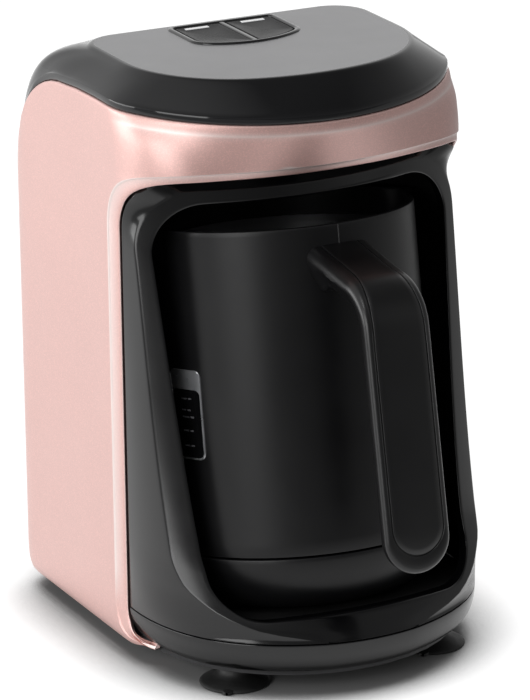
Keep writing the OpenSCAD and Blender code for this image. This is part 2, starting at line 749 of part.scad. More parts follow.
module cord_gland() color([0.08, 0.08, 0.08]) placed() translate([0, back_y, gland_z]) rotate([90, 0, 0])
    difference() {
        union() {
            cylinder(r = 6, h = 13);
            translate([0, 0, wall]) cylinder(r = 9, h = 2);
        }
        translate([0, 0, -1]) cylinder(r = cord_r, h = 16);
    }

// ------------------------------------------------------------------ feet and screws

module foot_cups() color([0.06, 0.06, 0.06]) placed() at_each(foot_places) difference() {
    rotate_extrude()
        polygon([[0, 0], [foot_r, 0], [foot_r, 1.2], [9, 3.6], [6.5, 5.5], [6.5, plate_z], [0, plate_z]]);
    translate([0, 0, 3]) cylinder(r = 2 + slip, h = 10);
}

module foot_studs() color([0.7, 0.7, 0.72]) placed() at_each(foot_places) {
    translate([0, 0, 3.3]) cylinder(r = 2, h = base_z);
    translate([0, 0, base_z]) cylinder(r = 4, h = 2.4);
}

module plate_screws() color([0.7, 0.7, 0.72]) placed()
    at_each(plate_screw_places) translate([0, 0, 1.2]) screw(6, 3, 1.2);

module rear_screws() color([0.7, 0.7, 0.72]) placed()
    at_each(rear_screw_places) translate([0, -1.2, 0]) rotate([90, 0, 0]) screw(5, 3, 1.2);

// ------------------------------------------------------------------ pot

grip_root_z = -grip_drop - 22.5;
grip_screw_places = [for (i = [0, 1]) [0, pot_wall - pot_r - 0.02, grip_root_z + 3.2 + 6 * i]];

function pot_wall_r(z) = pot_r + (pot_seam_r - pot_r) * -z / pot_seam;

// Pouring lip towards +x, shrunk by t.
module spout(t) hull() {
    translate([0, 0, -0.2 + t]) linear_extrude(0.2) {
        translate([spout_reach - 6, 0]) circle(r = 6 - t, $fn = 32);
        translate([pot_r - 16, -spout_half + t]) square([8, 2 * (spout_half - t)]);
    }
    translate([pot_r - 10, 0, -spout_drop + 2 * t]) cylinder(r = 7 - t, h = 1, $fn = 32);
}

module pot_shell() color([0.13, 0.13, 0.135]) in_pot() difference() {
    union() {
        rotate_extrude() polygon([[0, -pot_seam], [pot_seam_r, -pot_seam], [pot_r, 0], [0, 0]]);
        both() spout(0);
    }
    rotate_extrude() polygon([
        [0, -pot_seam - 1],
        [pot_seam_r - pot_wall, -pot_seam - 1],
        [pot_seam_r - pot_wall, -pot_seam],
        [pot_r - pot_wall, 0],
        [pot_r - pot_wall, 1],
        [0, 1]
    ]);
    both() spout(pot_wall);
    at_each(grip_screw_places) rotate([90, 0, 0]) cylinder(r = screw_r + slip, h = 20);
}

seat_r = pot_wall_r(-cup_seat) - pot_wall;
module seal_ring() color([0.5, 0.5, 0.5]) in_pot() rotate_extrude() polygon([
    [cup_r + slip, -cup_seat - 5],
    [pot_wall_r(-cup_seat - 5) - pot_wall, -cup_seat - 5],
    [seat_r, -cup_seat - cup_t],
    [cup_r + slip, -cup_seat - cup_t]
]);

module pot_cup() color([0.8, 0.8, 0.82]) in_pot() rotate_extrude() polygon([
    [0, -cup_floor - cup_t],
    [cup_foot_r - 6, -cup_floor - cup_t],
    [cup_foot_r, -cup_floor + 5],
    [cup_r, -cup_seat - cup_t - 2],
    [cup_r, -cup_seat - cup_t],
    [seat_r - 0.1, -cup_seat - cup_t],
    [seat_r - 0.1, -cup_seat],
    [cup_r - cup_t, -cup_seat],
    [cup_r - cup_t, -cup_seat - 3],
    [cup_foot_r - cup_t, -cup_floor + 5.4],
    [cup_foot_r - 6.4, -cup_floor],
    [0, -cup_floor]
]);

function base_pts(t) =
    [for (a = [0:10:90]) [pot_foot_r + (pot_seam_r - t - pot_foot_r) * cos(a), -pot_seam - (pot_h - pot_seam - t) * sin(a)]];

module pot_base() color([0.13, 0.13, 0.135]) in_pot() difference() {
    rotate_extrude() polygon(concat([[0, -pot_seam]], base_pts(0), [[0, -pot_h]]));
    rotate_extrude() polygon(concat([[0, -pot_seam + 1], [pot_seam_r - pot_wall, -pot_seam + 1]],
        base_pts(pot_wall), [[0, -pot_h + pot_wall]]));
    box([-block_x, pot_r - 30, pin_z - block_h], [block_x, cut, pin_z + block_h]);
}

plate_top = -cup_floor - cup_t;
module heater_plate() color([0.75, 0.75, 0.77]) in_pot()
    translate([0, 0, plate_top - 4]) cylinder(r = cup_foot_r - 7, h = 4);

module heating_ring() color([0.55, 0.55, 0.57]) in_pot()
    translate([0, 0, plate_top - 4 - 3.2]) rotate([0, 0, -60]) rotate_extrude(angle = 300)
        translate([30, 0]) circle(r = 3.2);

module thermostat() color([0.85, 0.85, 0.8]) in_pot() {
    translate([0, 0, plate_top - 10]) cylinder(r = 9, h = 6);
    for (x = [-5, 5]) box([x - 1, -3, plate_top - 18], [x + 1, 3, plate_top - 10]);
}

module contact_block() color([0.12, 0.12, 0.12]) in_pot() difference() {
    box([-block_x, pot_r - 24, pin_z - block_h], [block_x, block_y, pin_z + block_h]);
    at_each(pin_places) translate([0, block_y + 1, 0]) rotate([90, 0, 0])
        cylinder(r = pin_r + 0.3, h = pin_reach + 3);
}

// ------------------------------------------------------------------ handle

// Side line of the handle at the depth t under its outer face, as [distance, height].
function grip_line(t, y0, z1) = concat(
    [[y0, -grip_drop - (y0 - pot_r) * tan(grip_fall) - t / cos(grip_fall)]],
    arc_pts(grip_bend_y, grip_bend_z, grip_bend - t, 90 - grip_fall, grip_slant, 12),
    [[grip_y(t, z1), z1]]
);
function backwards(list) = [for (i = [len(list) - 1:-1:0]) list[i]];
// Side view of a layer of the handle between the depths t0 and t1.
module grip_layer(t0, t1, y0, z1, half) translate([half, 0, 0]) rotate([90, 0, -90]) mirror([1, 0, 0])
    linear_extrude(2 * half) mirror([1, 0])
        polygon(concat(grip_line(t0, y0, z1), backwards(grip_line(t1, y0, z1))));

module grip_front_view(half, end)
    along(-cut, 0) {
        translate([-half, end + half]) square([2 * half, -end]);
        translate([0, end + half]) circle(r = half);
    }

module grip_body(y0) {
    grip_layer(0, grip_t, y0, grip_round_z, grip_w / 2);
    translate([grip_w / 2, -grip_y(grip_t / 2, grip_round_z), grip_round_z]) rotate([0, -90, 0])
        cylinder(r = grip_t / 2, h = grip_w);
}

inlay_end = -grip_end + 6;
module grip_inlay() color([0.1, 0.1, 0.1]) in_pot() intersection() {
    grip_layer(0, inlay_t, pot_r + 8, inlay_end, inlay_w / 2);
    grip_front_view(inlay_w / 2, inlay_end + 3);
}

module grip() color([0.11, 0.11, 0.115]) in_pot() difference() {
    union() {
        intersection() {
            grip_body(pot_r - 3);
            grip_front_view(grip_w / 2, -grip_end);
        }
        box([-grip_w / 2, -pot_r - 7, grip_root_z], [grip_w / 2, -pot_r + 3, -grip_drop - 3]);
    }
    at_each(grip_screw_places) rotate([90, 0, 0]) cylinder(r = screw_r + slip, h = 14);
    intersection() {
        grip_layer(-1, inlay_t + slip, pot_r + 8 - slip, inlay_end, inlay_w / 2 + slip);
        grip_front_view(inlay_w / 2 + slip, inlay_end + 3 - slip);
    }
    rotate_extrude() polygon([[0, -pot_seam], [pot_seam_r, -pot_seam], [pot_r, 0], [pot_r, 5], [0, 5]]);
}

module grip_screws() color([0.7, 0.7, 0.72]) in_pot()
    at_each(grip_screw_places) rotate([90, 0, 0]) screw(9, 2.6, 1.2);

// ------------------------------------------------------------------ gauge

module level_gauge() color([0.6, 0.6, 0.62]) in_pot() rotate([0, 0, -90 - gauge_turn - gauge_span / 2])
    rotate_extrude(angle = gauge_span) polygon([
        [pot_wall_r(-gauge_top), -gauge_top],
        [pot_wall_r(-gauge_top) + gauge_t, -gauge_top],
        [pot_wall_r(-gauge_top - gauge_h) + gauge_t, -gauge_top - gauge_h],
        [pot_wall_r(-gauge_top - gauge_h), -gauge_top - gauge_h]
    ]);

outer_shell();
top_cap();
rear_cover();
front_fascia();
base_ring();
foot_plate();
niche_liner();
niche_floor();
niche_ceiling();
boil_sensor();
socket_block();
contact_pins();
button_frame();
left_button();
right_button();
left_light_bar();
right_light_bar();
left_plunger();
right_plunger();
control_board();
tact_switches();
indicator_leds();
buzzer();
board_screws();
power_board();
mains_relay();
filter_capacitor();
wiring_loom();
cord_gland();
foot_cups();
foot_studs();
plate_screws();
rear_screws();
pot_shell();
seal_ring();
pot_cup();
pot_base();
heater_plate();
heating_ring();
thermostat();
contact_block();
grip();
grip_inlay();
grip_screws();
level_gauge();
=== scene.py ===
from math import asin, atan2, cos, dist, exp, hypot, pi, radians, sin, sqrt, tan

import bmesh
import bpy
import numpy as np
from mathutils import Matrix, Vector


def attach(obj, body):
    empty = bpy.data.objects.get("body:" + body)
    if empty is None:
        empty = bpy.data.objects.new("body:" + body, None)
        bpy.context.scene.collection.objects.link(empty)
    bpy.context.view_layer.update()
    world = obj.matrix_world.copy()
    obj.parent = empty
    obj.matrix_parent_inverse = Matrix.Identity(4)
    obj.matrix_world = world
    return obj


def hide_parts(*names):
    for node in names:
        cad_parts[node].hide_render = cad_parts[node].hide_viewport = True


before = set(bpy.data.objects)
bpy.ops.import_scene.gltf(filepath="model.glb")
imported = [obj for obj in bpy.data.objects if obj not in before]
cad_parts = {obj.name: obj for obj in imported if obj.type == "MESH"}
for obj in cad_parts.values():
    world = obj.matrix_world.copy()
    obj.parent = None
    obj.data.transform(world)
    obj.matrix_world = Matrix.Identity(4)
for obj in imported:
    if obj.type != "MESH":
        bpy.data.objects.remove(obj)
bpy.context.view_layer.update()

print("frame loaded:", len(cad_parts), "nodes")

# Lengths below are millimetres. Housing points count y from the side joint, pot points
# count from the middle of the rim along the pot's own axis.
sideJoint = 3.7821
leanAngle = radians(8.65)
potPlace = (8.7616, 192.797)


def toRow(point):
    return (point[0] * 0.001, (point[1] + sideJoint) * 0.001, point[2] * 0.001)


def fromPot(point):
    x, y, z = point
    c, s = cos(leanAngle), sin(leanAngle)
    return (x, potPlace[0] + y * c + z * s, potPlace[1] - y * s + z * c)


# Camera

view = {
    "place": (-0.924377, -1.850711, 0.815128), "yaw": 0.458, "pitch": 0.319, "roll": -0.013, "focal": 5021.6,
    "frameHeight": 700, "sensor": 36}


def addObject(name, data):
    made = bpy.data.objects.new(name, data)
    bpy.context.scene.collection.objects.link(made)
    return made


def addCamera():
    yaw, pitch, roll = view["yaw"], view["pitch"], view["roll"]
    ahead = Vector((sin(yaw) * cos(pitch), cos(yaw) * cos(pitch), -sin(pitch)))
    right = Vector((cos(yaw), -sin(yaw), 0))
    up = right.cross(ahead)
    side = right * cos(roll) + up * sin(roll)
    top = up * cos(roll) - right * sin(roll)
    data = bpy.data.cameras.new("camera")
    data.sensor_width = view["sensor"]
    data.lens = view["focal"] * view["sensor"] / view["frameHeight"]
    camera = addObject("camera", data)
    turned = Matrix((side, top, -ahead)).transposed().to_4x4()
    camera.matrix_world = Matrix.Translation(view["place"]) @ turned
    bpy.context.scene.camera = camera


addCamera()
print("camera set")

# Finishes


def addNode(tree, kind, inputs=None, **settings):
    node = tree.nodes.new(kind)
    for key, value in settings.items():
        setattr(node, key, value)
    for key, value in (inputs or {}).items():
        if isinstance(value, bpy.types.NodeSocket):
            tree.links.new(value, node.inputs[key])
        else:
            node.inputs[key].default_value = value
    return node


def clearTree(holder):
    holder.use_nodes = True
    holder.node_tree.nodes.clear()
    return holder.node_tree


def shade(colour, factor):
    return tuple(min(1.0, max(0.0, c * factor)) for c in colour) + (1.0,)


def mapValue(tree, value, span, low, high, smooth=False):
    return addNode(tree, "ShaderNodeMapRange", {"Value": value, "From Min": span[0], "From Max": span[1],
                                                "To Min": low, "To Max": high},
                   interpolation_type="SMOOTHSTEP" if smooth else "LINEAR").outputs[0]


def combine(tree, a, b, operation="MULTIPLY"):
    return addNode(tree, "ShaderNodeMath", {0: a, 1: b}, operation=operation).outputs[0]


def noise(tree, place, size, **settings):  # size in millimetres
    inputs = {"Vector": place, "Scale": 1000 / size, **settings}
    return addNode(tree, "ShaderNodeTexNoise", inputs).outputs["Fac"]


def roughen(tree, height, depth, under=None):  # depth in millimetres
    inputs = {"Height": height, "Strength": 1.0, "Distance": depth * 0.001}
    if under:
        inputs["Normal"] = under
    return addNode(tree, "ShaderNodeBump", inputs).outputs["Normal"]


def blendColour(tree, amount, colour, other):
    return addNode(tree, "ShaderNodeMix", {0: amount, 6: colour, 7: other}, data_type="RGBA").outputs[2]


# A finish has a colour with its drift over patches, roughness with its drift over smears, fine grain
# with its depth, long waves left by the mould, wear along the edges that on the rose paint is a painted
# highlight, painted highlight lines set per point, and flakes for metallic paint.
usual = {
    "drift": 0.1, "patch": 10, "rough": 0.3, "roughDrift": 0.05, "smear": 8, "grain": 0.4, "grainDepth": 0.01,
    "driftSpan": (0.34, 0.66), "smearSpan": (0.3, 0.7), "flakeSpan": (0.55, 1.0), "flakeShade": 1.35,
    "wearAndHighlightSpan": (0.53, 0.6), "metal": 0.0, "ior": 1.5, "coat": 0.0, "coatRough": 0.05}


def makeFinish(name, changes):
    look = {**usual, **changes}
    finish = bpy.data.materials.new(name)
    tree = clearTree(finish)
    place = addNode(tree, "ShaderNodeTexCoord").outputs["Object"]
    patch = noise(tree, place, look["patch"], Detail=5.0, Roughness=0.6)
    ramp = addNode(tree, "ShaderNodeValToRGB", {"Fac": patch})
    for stop, position, way in zip(ramp.color_ramp.elements, look["driftSpan"], (-1, 1)):
        stop.position = position
        stop.color = shade(look["colour"], 1 + way * look["drift"])
    colour = ramp.outputs["Color"]
    if "flake" in look:
        cells = addNode(tree, "ShaderNodeTexVoronoi", {"Vector": place, "Scale": 1000 / look["flake"]})
        pick = addNode(tree, "ShaderNodeSeparateColor", {"Color": cells.outputs["Color"]}).outputs[0]
        amount = mapValue(tree, pick, look["flakeSpan"], 0.0, look["sparkle"])
        colour = blendColour(tree, amount, colour, shade(look["colour"], look["flakeShade"]))
    if "wearAndHighlight" in look:
        # Lighter colour where the mesh is pointed: edge wear, and on the rose paint a painted highlight; the
        # per-point attribute adds painted highlight lines.
        edge = addNode(tree, "ShaderNodeNewGeometry").outputs["Pointiness"]
        line = addNode(tree, "ShaderNodeAttribute", attribute_name="paintedHighlight").outputs["Fac"]
        edgeAndHighlightMix = combine(tree, mapValue(tree, edge, look["wearAndHighlightSpan"], 0.0, look["wearAndHighlight"]), line, "MAXIMUM")
        colour = blendColour(tree, edgeAndHighlightMix, colour, shade(look["wornAndHighlight"], 1))
    smear = noise(tree, place, look["smear"], Detail=6.0, Roughness=0.65)
    rough = mapValue(tree, smear, look["smearSpan"], look["rough"] - look["roughDrift"],
                     look["rough"] + look["roughDrift"])
    normal = roughen(tree, noise(tree, place, look["grain"], Detail=3.0), look["grainDepth"])
    if "wave" in look:
        normal = roughen(tree, noise(tree, place, look["wave"], Detail=1.0), look["waveDepth"], normal)
    shader = addNode(tree, "ShaderNodeBsdfPrincipled", {
        "Base Color": colour, "Roughness": rough, "Normal": normal, "Metallic": look["metal"],
        "IOR": look["ior"], "Coat Weight": look["coat"], "Coat Roughness": look["coatRough"]})
    if "glow" in look:
        shader.inputs["Emission Color"].default_value = shade(look["glow"], 1)
        shader.inputs["Emission Strength"].default_value = look["glowLevel"]
    addNode(tree, "ShaderNodeOutputMaterial", {"Surface": shader.outputs["BSDF"]})
    return finish


looks = {
    # The rose paint's near-white worn colour paints the highlight along its edges and ridge lines.
    "rose_paint": {"colour": (0.74, 0.46, 0.42), "drift": 0.02, "patch": 60, "rough": 0.42,
        "roughDrift": 0.03, "smear": 40, "grain": 0.5, "grainDepth": 0.004, "metal": 0.45, "coat": 0.6,
        "coatRough": 0.38, "wave": 9, "waveDepth": 0.008, "flake": 0.35, "sparkle": 0.5, "wearAndHighlight": 0.8,
        "wornAndHighlight": (0.97, 0.88, 0.85)},
    "cap_black": {"colour": (0.006, 0.006, 0.007), "patch": 50, "rough": 0.09, "roughDrift": 0.03,
        "smear": 35, "grain": 0.6, "grainDepth": 0.001, "ior": 1.42, "coat": 0.15, "coatRough": 0.04,
        "wave": 14, "waveDepth": 0.02, "wearAndHighlight": 0.35, "wornAndHighlight": (0.09, 0.09, 0.1)},
    # The cap's flat top: satin, its colour lighter than the cap's black as a painted sheen of the light from
    # above.
    "cap_satin_painted_sheen": {"colour": (0.085, 0.084, 0.094), "drift": 0.04, "patch": 50, "rough": 0.36,
        "roughDrift": 0.02, "smear": 35, "grainDepth": 0.003, "coat": 0.7, "coatRough": 0.25},
    "gloss_black": {"colour": (0.005, 0.005, 0.0055), "patch": 50, "rough": 0.12, "roughDrift": 0.04,
        "smear": 30, "grain": 0.6, "grainDepth": 0.001, "coat": 0.3, "wave": 12, "waveDepth": 0.02,
        "wearAndHighlight": 0.4, "wornAndHighlight": (0.09, 0.09, 0.095)},
    "frame_black": {"colour": (0.003, 0.003, 0.0035), "patch": 50, "rough": 0.17, "roughDrift": 0.03,
        "smear": 30, "grain": 0.5, "grainDepth": 0.002, "wave": 12, "waveDepth": 0.01, "wearAndHighlight": 0.4,
        "wornAndHighlight": (0.06, 0.06, 0.065)},
    "satin_black": {"colour": (0.006, 0.006, 0.0065), "drift": 0.12, "patch": 40, "rough": 0.42, "smear": 30,
        "grain": 0.35, "grainDepth": 0.02, "ior": 1.38, "wearAndHighlight": 0.3, "wornAndHighlight": (0.07, 0.07, 0.075)},
    "niche_black": {"colour": (0.003, 0.003, 0.0032), "drift": 0.15, "patch": 40, "rough": 0.5,
        "roughDrift": 0.06, "smear": 30, "grainDepth": 0.02},
    "sensor_grey": {"colour": (0.12, 0.12, 0.13), "rough": 0.35, "grain": 0.3},
    "contact_brass": {"colour": (0.75, 0.58, 0.28), "drift": 0.12, "patch": 6, "rough": 0.25,
        "roughDrift": 0.08, "smear": 5, "grain": 0.2, "grainDepth": 0.006, "metal": 1.0},
    "button_black": {"colour": (0.004, 0.004, 0.005), "patch": 20, "rough": 0.26, "roughDrift": 0.03,
        "smear": 14, "grainDepth": 0.001, "ior": 1.13, "wearAndHighlight": 0.4, "wornAndHighlight": (0.1, 0.1, 0.1)},
    "light_white": {"colour": (0.85, 0.86, 0.88), "drift": 0.03, "patch": 6, "smear": 5, "grain": 0.3,
        "grainDepth": 0.004, "glow": (1.0, 1.0, 1.0), "glowLevel": 0.35},
    "natural_white": {"colour": (0.75, 0.74, 0.68), "drift": 0.05, "rough": 0.45},
    "board_green": {"colour": (0.02, 0.13, 0.05), "drift": 0.25, "patch": 6, "roughDrift": 0.08, "smear": 6,
        "grain": 0.5, "grainDepth": 0.02},
    "screw_steel": {"colour": (0.36, 0.36, 0.375), "patch": 4, "roughDrift": 0.08, "smear": 4, "grain": 0.2,
        "grainDepth": 0.008, "metal": 1.0},
    "relay_blue": {"colour": (0.03, 0.08, 0.3), "rough": 0.35},
    "capacitor_grey": {"colour": (0.08, 0.08, 0.09)},
    "wire_white": {"colour": (0.7, 0.7, 0.7), "drift": 0.05, "patch": 8, "rough": 0.4},
    "foot_rubber": {"colour": (0.006, 0.006, 0.006), "drift": 0.2, "rough": 0.6, "roughDrift": 0.08,
        "grain": 0.3, "grainDepth": 0.02},
    "pot_black": {"colour": (0.005, 0.005, 0.0055), "patch": 40, "rough": 0.36, "roughDrift": 0.04,
        "smear": 30, "grain": 0.3, "grainDepth": 0.012, "ior": 1.36, "wave": 16, "waveDepth": 0.015,
        "wearAndHighlight": 0.3, "wornAndHighlight": (0.08, 0.08, 0.085)},
    "seal_silicone": {"colour": (0.2, 0.2, 0.2), "drift": 0.08, "patch": 12, "rough": 0.55, "smear": 10},
    "cup_steel": {"colour": (0.16, 0.16, 0.165), "drift": 0.05, "patch": 20, "rough": 0.4, "roughDrift": 0.06,
        "smear": 15, "grain": 0.3, "grainDepth": 0.006, "metal": 1.0},
    "heater_aluminium": {"colour": (0.6, 0.6, 0.62), "drift": 0.08, "patch": 12, "rough": 0.4,
        "roughDrift": 0.06, "smear": 10, "grainDepth": 0.02, "metal": 1.0},
    "grip_black": {"colour": (0.004, 0.004, 0.0045), "patch": 30, "rough": 0.32, "roughDrift": 0.04,
        "smear": 20, "grain": 0.3, "grainDepth": 0.008, "wearAndHighlight": 0.4, "wornAndHighlight": (0.08, 0.08, 0.085)},
    "gauge_silver": {"colour": (0.55, 0.56, 0.58), "drift": 0.05, "patch": 8, "smear": 6, "grain": 0.3,
        "grainDepth": 0.004, "metal": 0.8}}
finishes = {slotName: makeFinish(slotName, look) for slotName, look in looks.items()}

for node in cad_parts.values():  # every carried-over node gets the finish of its own slot
    for place in node.material_slots:
        slotName = place.material.name.split(".")[0]
        place.material = finishes[slotName]
print("finishes made:", len(finishes))

# Making meshes

weldReach = 0.00002  # metres


def addPiece(name, parts, slotName, body, nodes=(), crease=32, thickness=0.0, mirror=False, finish=None,
             paintedHighlight=()):
    points, faces = parts
    paintedHighlight = list(paintedHighlight) + [0.0] * (len(points) - len(paintedHighlight))
    if mirror:
        count = len(points)
        paintedHighlight += paintedHighlight
        points = points + [(-x, y, z) for x, y, z in points]
        faces = faces + [tuple(count + i for i in reversed(f)) for f in faces]
    mesh = bpy.data.meshes.new(name)
    mesh.from_pydata([toRow(p) for p in points], [], faces)
    # Per-point weight of painted highlight lines, read by the finish.
    mesh.attributes.new("paintedHighlight", "FLOAT", "POINT").data.foreach_set("value", paintedHighlight)
    work = bmesh.new()
    work.from_mesh(mesh)
    bmesh.ops.remove_doubles(work, verts=work.verts, dist=weldReach)
    bmesh.ops.dissolve_degenerate(work, edges=work.edges, dist=weldReach / 2)
    bmesh.ops.recalc_face_normals(work, faces=work.faces)
    if thickness:
        bmesh.ops.solidify(work, geom=work.faces, thickness=thickness * 0.001)
    work.to_mesh(mesh)
    work.free()
    mesh.shade_smooth()
    mesh.set_sharp_from_angle(angle=radians(crease))
    mesh.materials.append(finishes[finish or slotName])
    piece = addObject(name, mesh)
    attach(piece, body)
    if nodes:
        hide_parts(*nodes)


def weave(lines, closed=False):  # quads between neighbouring lines of points
    width = len(lines[0])
    faces = []
    for i in range(len(lines) - 1):
        for j in range(width if closed else width - 1):
            a, b = i * width + j, i * width + (j + 1) % width
            faces.append((a, b, b + width, a + width))
    return [p for line in lines for p in line], faces


def joinParts(parts):
    points, faces = [], []
    for somePoints, someFaces in parts:
        faces += [tuple(i + len(points) for i in f) for f in someFaces]
        points += somePoints
    return points, faces


def between(a, b, t):
    return a + (b - a) * t


def blend(a, b, t):  # a point between two others
    return tuple(between(p, q, t) for p, q in zip(a, b))


def spread(a, b, steps):  # points from a to b at even steps
    return [blend(a, b, k / steps) for k in range(steps + 1)]


def lookup(value, table):
    return float(np.interp(value, [row[0] for row in table], [row[1] for row in table]))


def softLookup(value, table, reach=1.1):  # the table with its corners rounded over a short reach
    return sum(lookup(value + reach * k / 4, table) for k in range(-4, 5)) / 9


def easeLookup(value, table):  # a smooth curve through the table that never overshoots
    xs, ys = [row[0] for row in table], [row[1] for row in table]
    last = len(xs) - 1
    value = min(xs[last], max(xs[0], value))
    i = min(last - 1, max(0, sum(x <= value for x in xs) - 1))
    slopes = [(ys[k + 1] - ys[k]) / (xs[k + 1] - xs[k]) for k in range(last)]

    def tilt(k):
        if k in (0, last):
            return slopes[0 if k == 0 else -1]
        a, b = slopes[k - 1], slopes[k]
        return 0.0 if a * b <= 0 else 2 * a * b / (a + b)

    step = xs[i + 1] - xs[i]
    t = (value - xs[i]) / step
    return (ys[i] * (2 * t ** 3 - 3 * t * t + 1) + step * tilt(i) * (t ** 3 - 2 * t * t + t)
            + ys[i + 1] * (3 * t * t - 2 * t ** 3) + step * tilt(i + 1) * (t ** 3 - t * t))


def smoothStep(value, low, high):
    t = min(1.0, max(0.0, (value - low) / (high - low)))
    return t * t * (3 - 2 * t)


# Housing outlines, as in the solid model

housing = {
    "halfWidth": 80.0, "back": 116.962, "backCorner": 18.0, "bandFoot": 223.197, "rim": 246.997,
    "top": 263.697, "rearJoint": 191.497, "turnZ": 196.997, "turnY": 40.0, "seam": 26.0, "baseFoot": 11.0,
    "shellFoot": 8.0, "toe": 17.0, "hoodReach": 63.0, "hoodRise": 67.7, "jointArc": 57.0, "sideEnd": 78.0}
frontSteps, cornerSteps, rearSteps = 60, 70, 30
flankEnd = frontSteps + cornerSteps - 1
bandReach = [(188, 60), (223.197, 44.6), (242.3, 52.2), (247, 52.5), (260, 52.5)]
bandCurve = [(188, 1 / 120), (223.197, 1 / 180), (242.3, 1 / 91), (247, 1 / 88), (260, 1 / 88)]
bandCorner = [(188, 40), (223.197, 38), (242.3, 36.2), (247, 36), (260, 36)]
caseTurn = [(8, 4), (8.5, 3.0), (9.2, 2.1), (10, 1.5), (11.2, 0.95), (12.8, 0.55), (15, 0.25), (18, 0.08),
            (22, 0), (300, 0)]
ringTurn = [(11, 8), (11.3, 6.9), (11.9, 5.9), (12.9, 4.6), (14.3, 3.1), (16, 2.0), (18, 1.15), (20.5, 0.5),
            (23, 0.14), (26, 0), (300, 0)]


def hood(z):
    rise = min(1.0, max(0.0, z - housing["top"] + housing["hoodRise"]) / housing["hoodRise"])
    return housing["back"] - housing["hoodReach"] * (1 - sqrt(1 - rise * rise))


def runAlong(x, y):
    return np.concatenate([[0], np.cumsum(np.hypot(np.diff(x), np.diff(y)))])


def halfOutline(w, f, r, c, b, q):  # half width, front reach and radius, corner, back, rear corner
    mid = r - f
    side = mid - sqrt((r - c) ** 2 - (w - c) ** 2)
    a = atan2(side - mid, w - c)
    front, corner = np.linspace(-pi / 2, a, frontSteps), np.linspace(a, 0, cornerSteps)[1:]
    rear = np.linspace(0, pi / 2, rearSteps)
    x = np.concatenate([r * np.cos(front), w - c + c * np.cos(corner), w - q + q * np.cos(rear)])
    y = np.concatenate([mid + r * np.sin(front), side + c * np.sin(corner), b - q + q * np.sin(rear)])
    x[0] = 0.0
    return x, y, runAlong(x, y)


keptOutlines = {}


def caseOutline(z):
    key = round(z, 3)
    if key not in keptOutlines:
        t = lookup(z, caseTurn)
        keptOutlines[key] = halfOutline(
            housing["halfWidth"] - t, softLookup(z, bandReach), 1 / softLookup(z, bandCurve),
            lookup(z, bandCorner), hood(z) - t, housing["backCorner"])
    return keptOutlines[key]


def onLine(line, place):
    x, y, run = line
    return float(np.interp(place, run, x)), float(np.interp(place, run, y))


def inward(line, place, depth):  # the outline's point at a place, moved in by depth
    (ax, ay), (bx, by) = onLine(line, max(place - 0.4, 0.0)), onLine(line, min(place + 0.4, line[2][-1]))
    dx, dy = bx - ax, by - ay
    if place == 0:
        dy = 0.0
    x, y = onLine(line, place)
    size = hypot(dx, dy)
    return x - dy / size * depth, y + dx / size * depth


# A place along an outline: 0 front middle, 1 side joint, 2 end of the plain side, 3 end of the
# rear corner, 4 middle of the back.
def alongOutline(line, s, depth=0.0, sideEnd=None):
    x, y, run = line
    sideEnd = housing["sideEnd"] if sideEnd is None else sideEnd
    atEnd = np.interp(sideEnd, y, run)
    if s <= 1:
        return inward(line, s * np.interp(0.0, y, run), depth)
    if s <= 2:
        return inward(line, np.interp(sideEnd * (s - 1), y, run), depth)
    if s < 3:
        return inward(line, atEnd + (run[-1] - atEnd) * (s - 2), depth)
    return float(x[-1] * (4 - s)), float(y[-1] - depth)


def placeOnOutline(line, x=None, y=None):  # the inverse, for points in front of the side joint
    px, py, run = line
    atJoint = np.interp(0.0, py, run)
    if x is not None:
        return float(np.interp(x, px[:flankEnd], run[:flankEnd]) / atJoint)
    if y > 0:
        return 1 + y / housing["sideEnd"]
    return float(np.interp(y, py, run) / atJoint)


def bandEdge(y):  # height of the painted band's lower edge at the place y
    t = (y + housing["turnY"]) / housing["turnY"]
    if t <= 0:
        return housing["bandFoot"]
    return between(housing["turnZ"], housing["bandFoot"], sqrt(max(0.0, 1 - t * t)))


def jointHeight(y):  # height of the joint between shell and cap
    arcY = housing["back"] - 65
    if y < arcY:
        return housing["rim"] + lookup(y, [(-52.5, 0), (-10, 2.3), (20, 3), (arcY - 12, 2.6), (arcY, 1.5)])
    reach = min(1.0, (y - arcY) / housing["jointArc"])
    return housing["rearJoint"] + housing["jointArc"] * sqrt(max(0.0, 1 - reach * reach))


def jointOn(s, outlineAt):  # height at which an outline place meets that joint
    low, high = housing["rearJoint"], housing["rim"] + 4
    for _ in range(30):
        z = (low + high) / 2
        if z > jointHeight(alongOutline(outlineAt(z), s)[1]):
            high = z
        else:
            low = z
    return (low + high) / 2


# Painted shell

